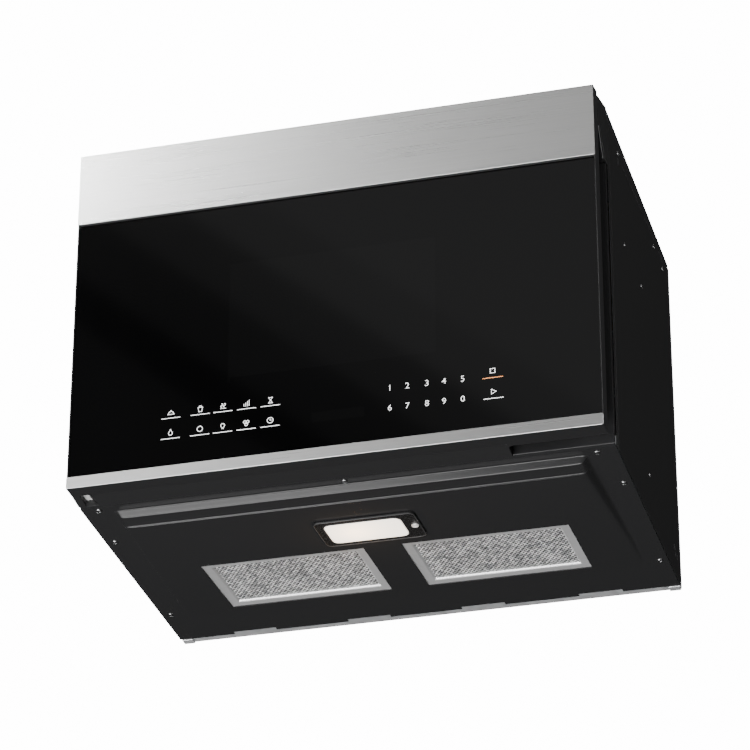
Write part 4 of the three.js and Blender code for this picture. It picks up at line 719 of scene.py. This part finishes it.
def digit(text, x, z):
    curve = bpy.data.curves.new("digit_" + text, "FONT")
    curve.body = text
    curve.size = printing["digit"] * printing["digitToFont"]
    curve.align_x = "CENTER"
    curve.offset = printing["bold"]
    curve.resolution_u = printing["curveSteps"]
    temp = bpy.data.objects.new("digit_" + text, curve)
    bpy.context.scene.collection.objects.link(temp)
    bpy.context.view_layer.update()
    mesh = bpy.data.meshes.new_from_object(temp)
    bpy.data.objects.remove(temp)
    foot = Matrix.Translation((x, glassFace - printing["lift"], z - printing["digit"] / 2))
    mesh.transform(caseFrame @ foot @ Matrix.Rotation(math.radians(90), 4, "X"))
    addPiece("digit_" + text, mesh, "door", printedWhite)


for row, z in digitRows.items():
    for text, x in zip(row, digitColumns):
        digit(text, x, z)
print("keys printed")


# A domed head with a cross cut into it.
screw = {"head": 4.1, "height": 1.9, "dome": 0.9, "domePower": 2.6, "rim": 0.1, "sink": 0.2, "sides": 24,
         "rings": (0.35, 0.6, 0.8, 0.93, 1.0), "cross": 2.4, "slot": 0.9, "deep": 1.6, "tip": 0.001}


def screwMesh():
    crown = [(screw["tip"], screw["height"])]
    for share in screw["rings"]:
        fall = math.sqrt(max(0, 1 - share ** screw["domePower"]))
        crown.append((screw["head"] * share, screw["height"] * fall * screw["dome"] + screw["rim"]))
    crown.append((screw["head"], -screw["sink"]))
    shape = lofted(revolved(crown, Vector(), screw["sides"]), closed=False)
    cross = bmesh.new()
    for turn in (0, 90):
        bmesh.ops.create_cube(cross, size=1, matrix=Matrix.Rotation(math.radians(turn), 4, "Z")
                              @ Matrix.Translation((0, 0, screw["height"]))
                              @ Matrix.Diagonal((screw["cross"] * 2, screw["slot"], screw["deep"], 1)))
    body = bpy.data.objects.new("head", finishMesh("screw_head", shape))
    tool = bpy.data.objects.new("recess", finishMesh("screw_recess", cross))
    for obj in (body, tool):
        bpy.context.scene.collection.objects.link(obj)
    carve = body.modifiers.new("carve", "BOOLEAN")
    carve.object = tool
    carve.operation = "DIFFERENCE"
    carve.use_self = True
    bpy.context.view_layer.update()
    mesh = bpy.data.meshes.new_from_object(body.evaluated_get(bpy.context.evaluated_depsgraph_get()))
    bpy.data.objects.remove(body)
    bpy.data.objects.remove(tool)
    return mesh


screwHead = screwMesh()


def addScrew(name, place, direction, turn, size, look=darkScrew):
    mesh = screwHead.copy()
    aim = Vector((0, 0, 1)).rotation_difference(Vector(direction)).to_matrix().to_4x4()
    mesh.transform(caseFrame @ Matrix.Translation(place) @ aim @ Matrix.Rotation(math.radians(turn), 4, "Z")
                   @ Matrix.Diagonal((size, size, size, 1)))
    addPiece(name, mesh, "cabinet", look)


# Each row's places, its screws' size, how far they sink in and how much each is turned on from the last.
screwRows = {
    "side": {"places": [(119, 403), (142, 296), (238, 295), (329, 399), (382, 398), (245, 56)],
             "size": 0.8, "sink": 0.5, "turnRight": 17, "turnLeft": 23},
    "base": {"places": [(-283.5, 64), (-1, 63), (279, 66), (-292, 145), (292, 145), (-292, 349), (292, 349)],
             "size": 0.95, "turn": 31},
    "back": {"places": [(-288, 30), (288, 30), (-288, 214), (288, 214), (-288, 398), (288, 398), (-150, 420),
                        (150, 420)],
             "size": 0.7, "sink": 1.6, "turn": 29},
}
backFace = (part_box("back_panel")[1].y - doorFace) / mm
row = screwRows["side"]
for i, (y, z) in enumerate(row["places"]):
    x = halfCase - row["sink"]
    addScrew(f"right_screw_{i}", (x, y, z), (1, 0, 0), row["turnRight"] * i, row["size"])
    addScrew(f"left_screw_{i}", (-x, y, z), (-1, 0, 0), row["turnLeft"] * i, row["size"])
row = screwRows["base"]
for i, (x, y) in enumerate(row["places"]):
    addScrew(f"base_screw_{i}", (x, y, 0), (0, 0, -1), row["turn"] * i, row["size"])
row = screwRows["back"]
for i, (x, z) in enumerate(row["places"]):
    addScrew(f"back_screw_{i}", (x, backFace - row["sink"], z), (0, 1, 0), row["turn"] * i, row["size"],
             looks["zinc_screw"])

# Fine pressed marks on the case's sides: holes, a slot under a screw and two long creases, in y, z. They
# take the lighter lip paint, a painted highlight.
sideMarks = {
    "wide": 1.3, "high": 0.45, "sink": 0.1,
    "lines": [arc(387, 32.6, 3.2, 0, 360),
              [(394, 22.5), (402, 22.5), (405, 26), (402, 29.5), (394, 29.5), (391, 26), (394, 22.5)],
              [(118.7, 388), (118.7, 397)], [(148, 402), (331, 411)], [(362, 412), (387, 408)]],
}


def sideMark(side):
    shape = bmesh.new()
    half = sideMarks["wide"] / 2
    foot = side * (halfCase - sideMarks["sink"])
    crest = side * (halfCase + sideMarks["high"])
    for points in sideMarks["lines"]:
        for (y0, z0), (y1, z1) in zip(points, points[1:]):
            across = Vector((0, z0 - z1, y1 - y0)).normalized() * half
            rows = []
            for shift, x in ((-1, foot), (0, crest), (1, foot)):
                ends = [Vector((x, y, z)) + across * shift for y, z in ((y0, z0), (y1, z1))]
                rows.append([shape.verts.new(end) for end in ends])
            for low, high in zip(rows, rows[1:] + rows[:1]):
                shape.faces.new((low[0], low[1], high[1], high[0]))
            shape.faces.new([row[0] for row in rows])
            shape.faces.new([row[1] for row in rows[::-1]])
    addShape("right_marks" if side > 0 else "left_marks", shape, caseFrame, "cabinet", lipPaintedHighlight)


# Pale clips that hold the back panel's foot at both far ends.
clip = {"inner": 288, "outer": 301, "front": 421.5, "back": 433, "high": 0.9, "round": 0.4, "sink": 0.5}


def rearClip(side):
    x0, x1 = sorted((side * clip["inner"], side * clip["outer"]))
    profile = [(clip["round"], -clip["high"]), (0, clip["round"] - clip["high"]),
               (0, clip["round"]), (clip["round"], clip["sink"])]
    shape = lofted([rectangleRing(x0, x1, clip["front"], clip["back"], inset, z) for inset, z in profile],
                   closed=False)
    addShape("right_clip" if side > 0 else "left_clip", shape, caseFrame, "cabinet", looks["zinc_sheet"])


for side in (1, -1):
    sideMark(side)
for side in (1, -1):
    rearClip(side)
print("screws placed")

# The tray's floor rises from behind the step to the rear; the lamp and the filters lie along it.
tray = {"start": 90, "deep": 12, "run": 275, "coverProud": 2.6}
trayFrame = (caseFrame @ Matrix.Translation((0, tray["start"], -tray["deep"]))
             @ Matrix.Rotation(math.atan2(tray["deep"], tray["run"]), 4, "X"))
eased("lamp_cover", 0.6, segments=3, look=coverPlastic)
eased("lamp_lens", 0.5)
# The cover's screw takes the near-white steel, a painted highlight.
eased("lamp_cover_screw", 0.2, look=steelPaintedHighlight)

# Fine raised lips round the cover and round its lens; the section is in shares of width and height. Their
# paint is lighter than the cover's, a painted highlight.
lips = {
    "cover_lip": {"area": (-58, 58, 42, 109), "radius": 8, "high": 0.7, "wide": 1.3},
    "lens_lip": {"area": (-49.5, 41.5, 49, 102), "radius": 10, "high": 0.8, "wide": 1.5},
}
lipSection = [(0.05, -0.3), (0.1, 0.6), (0.3, 0.95), (0.5, 1.0), (0.7, 0.95), (0.9, 0.6), (0.95, -0.3)]
for name, lip in lips.items():
    x0, x1, y0, y1 = lip["area"]
    rings = []
    for share, rise in lipSection:
        inset = lip["wide"] * share
        rings.append(roundedRing(x0 + inset, x1 - inset, y0 + inset, y1 - inset, lip["radius"] - inset,
                                 -tray["coverProud"] - lip["high"] * rise))
    addShape(name, lofted(rings), trayFrame, bodyOf["lamp_cover"], lipPaintedHighlight)

# A filter: its rim's section as inset and height, the mesh from the lap inwards, the dark layer behind it.
# That dark layer is painted shade, standing in for the shaded inner layers of mesh.
grease = {
    "gap": 44, "width": 192, "length": 127, "start": 129, "hidden": 5,
    "rim": [(0, 1.9), (0.5, 1.3), (14.6, 1.3), (14.9, 1.45), (16.4, 3.3), (16.5, 3.7), (15.3, 4.0),
            (15.1, 8.3), (14.5, 9.3), (0.5, 9.3), (0, 8.7)],
    "lap": 15.7,
    "mesh": {"angles": (58, -58), "pitch": 4.9, "width": 1.3, "thick": 0.2, "height": 3.7,
             "tilts": (10, -10)},
    "inner": [(0.4, 5.9), (0, 6.2), (0, 7.6), (0.4, 7.9)],
}


# A flat strand from one point to another, turned about its own length.
def strand(shape, start, end, width, thick, tilt):
    along = (end - start).normalized()
    flat = Matrix.Rotation(math.radians(tilt), 3, along) @ Vector((-along.y, along.x, 0)) * (width / 2)
    up = along.cross(flat).normalized() * (thick / 2)
    corners = [flat + up, up - flat, -flat - up, flat - up]
    first = [shape.verts.new(start + corner) for corner in corners]
    last = [shape.verts.new(end + corner) for corner in corners]
    for i in range(4):
        j = (i + 1) % 4
        shape.faces.new((first[i], first[j], last[j], last[i]))


# Expanded sheet: two crossing families of strands, cut off at the area's edges.
def expandedSheet(x0, x1, y0, y1, sheet):
    shape = bmesh.new()
    for angle in sheet["angles"]:
        slope = 1 / math.tan(math.radians(angle))
        reach = abs(slope) * (y1 - y0)
        count = int((x1 - x0 + reach) / sheet["pitch"])
        for i in range(count):
            foot = x0 - (reach if slope > 0 else 0) + sheet["pitch"] * (i + 0.5)
            ends = []
            for y in (y0, y1):
                x = foot + slope * (y - y0)
                kept = min(x1, max(x0, x))
                ends.append(Vector((kept, y + (kept - x) / slope, sheet["height"])))
            length = sheet["pitch"] / 2 / math.cos(math.radians(angle))
            steps = int((ends[1] - ends[0]).length / length)
            for k in range(steps):
                pair = [ends[0].lerp(ends[1], (k + end) / steps) for end in (0, 1)]
                strand(shape, *pair, sheet["width"], sheet["thick"], sheet["tilts"][(i + k) % 2])
    return shape


def greaseFilter(name, side):
    near = grease["gap"] / 2 - grease["hidden"]
    far = grease["gap"] / 2 + grease["width"] + grease["hidden"]
    x0, x1 = sorted((side * near, side * far))
    y0 = grease["start"] - grease["hidden"]
    y1 = grease["start"] + grease["length"] + grease["hidden"]
    lap = grease["lap"]
    body = bodyOf[name]
    rim = lofted([rectangleRing(x0, x1, y0, y1, inset, z) for inset, z in grease["rim"]])
    addShape(name + "_rim", rim, trayFrame, body, looks["aluminium"], [name])
    mesh = expandedSheet(x0 + lap, x1 - lap, y0 + lap, y1 - lap, grease["mesh"])
    addShape(name + "_mesh", mesh, trayFrame, body, meshLook)
    # The dark layer under the mesh is painted shade.
    inner = lofted([rectangleRing(x0, x1, y0, y1, lap + inset, z) for inset, z in grease["inner"]],
                   closed=False)
    addShape(name + "_inner", inner, trayFrame, body, paintedShadeSheet)


greaseFilter("grease_filter_left", -1)
greaseFilter("grease_filter_right", 1)
print("hood dressed")

# The turntable's section as radius and height.
turntable = {
    "section": [(0.01, 0), (136, 0), (143, 2.2), (148, 9), (152, 14), (151.4, 15.6), (149, 16), (146, 14),
                (144, 12), (139, 7), (132, 5), (0.01, 5)],
    "steps": 96,
}


def turntableDish():
    low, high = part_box("turntable_tray")
    foot = Vector(((low.x + high.x) / 2, (low.y + high.y) / 2, low.z))
    rings = revolved([(r * mm, h * mm) for r, h in turntable["section"]], foot, turntable["steps"])
    addPiece("turntable_dish", finishMesh("turntable_dish", lofted(rings, closed=False)), "turntable",
             looks["clear_glass"], ["turntable_tray"])


turntableDish()
turningParts = {
    "drive_coupler": 0.4, "roller_ring": 0.3, "roller_1": 0.4, "roller_2": 0.4, "roller_3": 0.4,
    "cooling_fan": 0.2, "blower_shaft": 0.2,
}
for node, bevel in turningParts.items():
    eased(node, bevel)
print("turntable dressed")

stageSet = {"floorDrop": 5.0, "floorHalf": 40, "floorColour": (0.86, 0.86, 0.85), "floorGlow": 4.5,
            "seen": 15.0, "fill": 0.03}


def addFloor():
    shape = bmesh.new()
    bmesh.ops.create_grid(shape, x_segments=1, y_segments=1, size=stageSet["floorHalf"],
                          matrix=Matrix.Translation((0, 0, -stageSet["floorDrop"])))
    mesh = bpy.data.meshes.new("floor")
    shape.to_mesh(mesh)
    shape.free()
    floor = bpy.data.objects.new("floor", mesh)
    bpy.context.scene.collection.objects.link(floor)
    paper = plainSolid("floor_paper", stageSet["floorColour"], 0.8)
    paper.set("Emission Color", (*stageSet["floorColour"], 1))
    paper.set("Emission Strength", stageSet["floorGlow"])
    mesh.materials.append(paper.material)
    floor.visible_diffuse = False
    floor.visible_glossy = False
    floor.visible_transmission = False


# White behind the object, and a dim room for everything the object reflects.
def addSky():
    world = bpy.data.worlds.new("studio")
    world.use_nodes = True
    bpy.context.scene.world = world
    wiring = Wiring(world.node_tree)
    seen = wiring.node("ShaderNodeLightPath")
    room = wiring.node("ShaderNodeBackground", {}, {"Color": (1, 1, 1, 1), "Strength": stageSet["fill"]})
    paper = wiring.node("ShaderNodeBackground", {}, {"Color": (1, 1, 1, 1), "Strength": stageSet["seen"]})
    sky = wiring.node("ShaderNodeMixShader", {}, {0: seen, 1: room, 2: paper})
    world.node_tree.links.new(sky.socket, world.node_tree.nodes["World Output"].inputs["Surface"])


lights = {
    "key": {"place": (-1.78, -2.75, 2.2), "size": (0.5, 0.5), "power": 104},
    "below": {"place": (-0.6, -2.2, -2.8), "size": (2.4, 1.6), "power": 190},
    "above": {"place": (0.3, 0.2, 3.2), "size": (2.4, 2.4), "power": 60},
    "behind": {"place": (-2.6, 2.6, 1.9), "size": (1.8, 1.8), "power": 60},
    "right": {"place": (3.2, -2.3, 0.3), "size": (1.6, 2.0), "power": 88},
    "frontLow": {"place": (-1.05, -3.0, -1.17), "size": (1.0, 0.4), "power": 22},
}
lightAim = (0, -0.2, 0)


def addLight(name, spec):
    data = bpy.data.lights.new(name, "AREA")
    data.shape = "RECTANGLE"
    data.size, data.size_y = spec["size"]
    data.energy = spec["power"]
    obj = bpy.data.objects.new(name, data)
    bpy.context.scene.collection.objects.link(obj)
    aim = Vector(spec.get("aim", lightAim)) - Vector(spec["place"])
    obj.matrix_world = (Matrix.Translation(spec["place"]) @ aim.to_track_quat("-Z", "Y").to_matrix().to_4x4()
                        @ Matrix.Rotation(spec.get("turn", 0), 4, "Z"))


# Dim cards that the glass mirrors, with a dark slanting gap between them.
cards = {"gapLow": (-0.789, 1.184), "slant": -40, "depth": -3.0, "apart": 0.02, "size": 2.2,
         "steps": [(0.03, 1.1), (0.16, 1.5), (0.27, 2.4), (0.38, 1.0)],
         "leftSize": (1.4, 0.5), "leftPower": 0.13, "leftGap": 0.05}


# A card faces +y; its lower edge runs along the slant, a set distance from the gap.
def addCards():
    slant = math.radians(cards["slant"])
    out = Vector((-math.sin(slant), 0, math.cos(slant)))
    low = Vector((cards["gapLow"][0], cards["depth"], cards["gapLow"][1]))
    for i, (step, power) in enumerate(cards["steps"]):
        place = low + out * (step + cards["size"] / 2) - Vector((0, cards["apart"] * i, 0))
        addLight(f"card_{i}", {"place": place, "aim": place + Vector((0, 1, 0)), "turn": slant,
                               "size": (cards["size"], cards["size"]), "power": power})
    place = low - out * (cards["leftGap"] + cards["leftSize"][1] / 2)
    addLight("card_left", {"place": place, "aim": place + Vector((0, 1, 0)), "turn": slant,
                           "size": cards["leftSize"], "power": cards["leftPower"]})


# The oven's own lamp, which lights the oven when the door is open.
ovenLight = {"power": 0.8, "size": 0.03, "drop": 0.05}


def addLamp(name, place, power, size, colour=(1, 1, 1)):
    data = bpy.data.lights.new(name, "POINT")
    data.color = colour
    data.energy = power
    data.shadow_soft_size = size
    obj = bpy.data.objects.new(name, data)
    bpy.context.scene.collection.objects.link(obj)
    obj.location = place
    obj.visible_glossy = False


def addLamps():
    leak = (lensLow + lensHigh) / 2 + Vector(lampGlow["leakShift"]) * mm
    addLamp("lamp_leak", leak, lampGlow["leakPower"], lampGlow["leakSize"], lampGlow["leak"])
    low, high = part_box("cavity_liner")
    roof = Vector(((low.x + high.x) / 2, (low.y + high.y) / 2, high.z - ovenLight["drop"]))
    addLamp("oven_light", roof, ovenLight["power"], ovenLight["size"])


viewpoint = {"place": (0.9503, -3.778, -1.9819), "turn": (118.232, -0.084, 15.022), "lens": 174.2,
             "sensor": 36, "reach": 100}


def addCamera():
    data = bpy.data.cameras.new("camera")
    data.sensor_width = viewpoint["sensor"]
    data.lens = viewpoint["lens"]
    data.clip_end = viewpoint["reach"]
    obj = bpy.data.objects.new("camera", data)
    bpy.context.scene.collection.objects.link(obj)
    obj.location = viewpoint["place"]
    obj.rotation_euler = [math.radians(angle) for angle in viewpoint["turn"]]
    bpy.context.scene.camera = obj


addFloor()
addSky()
for name, spec in lights.items():
    addLight(name, spec)
addCards()
addLamps()
addCamera()
print("stage set")
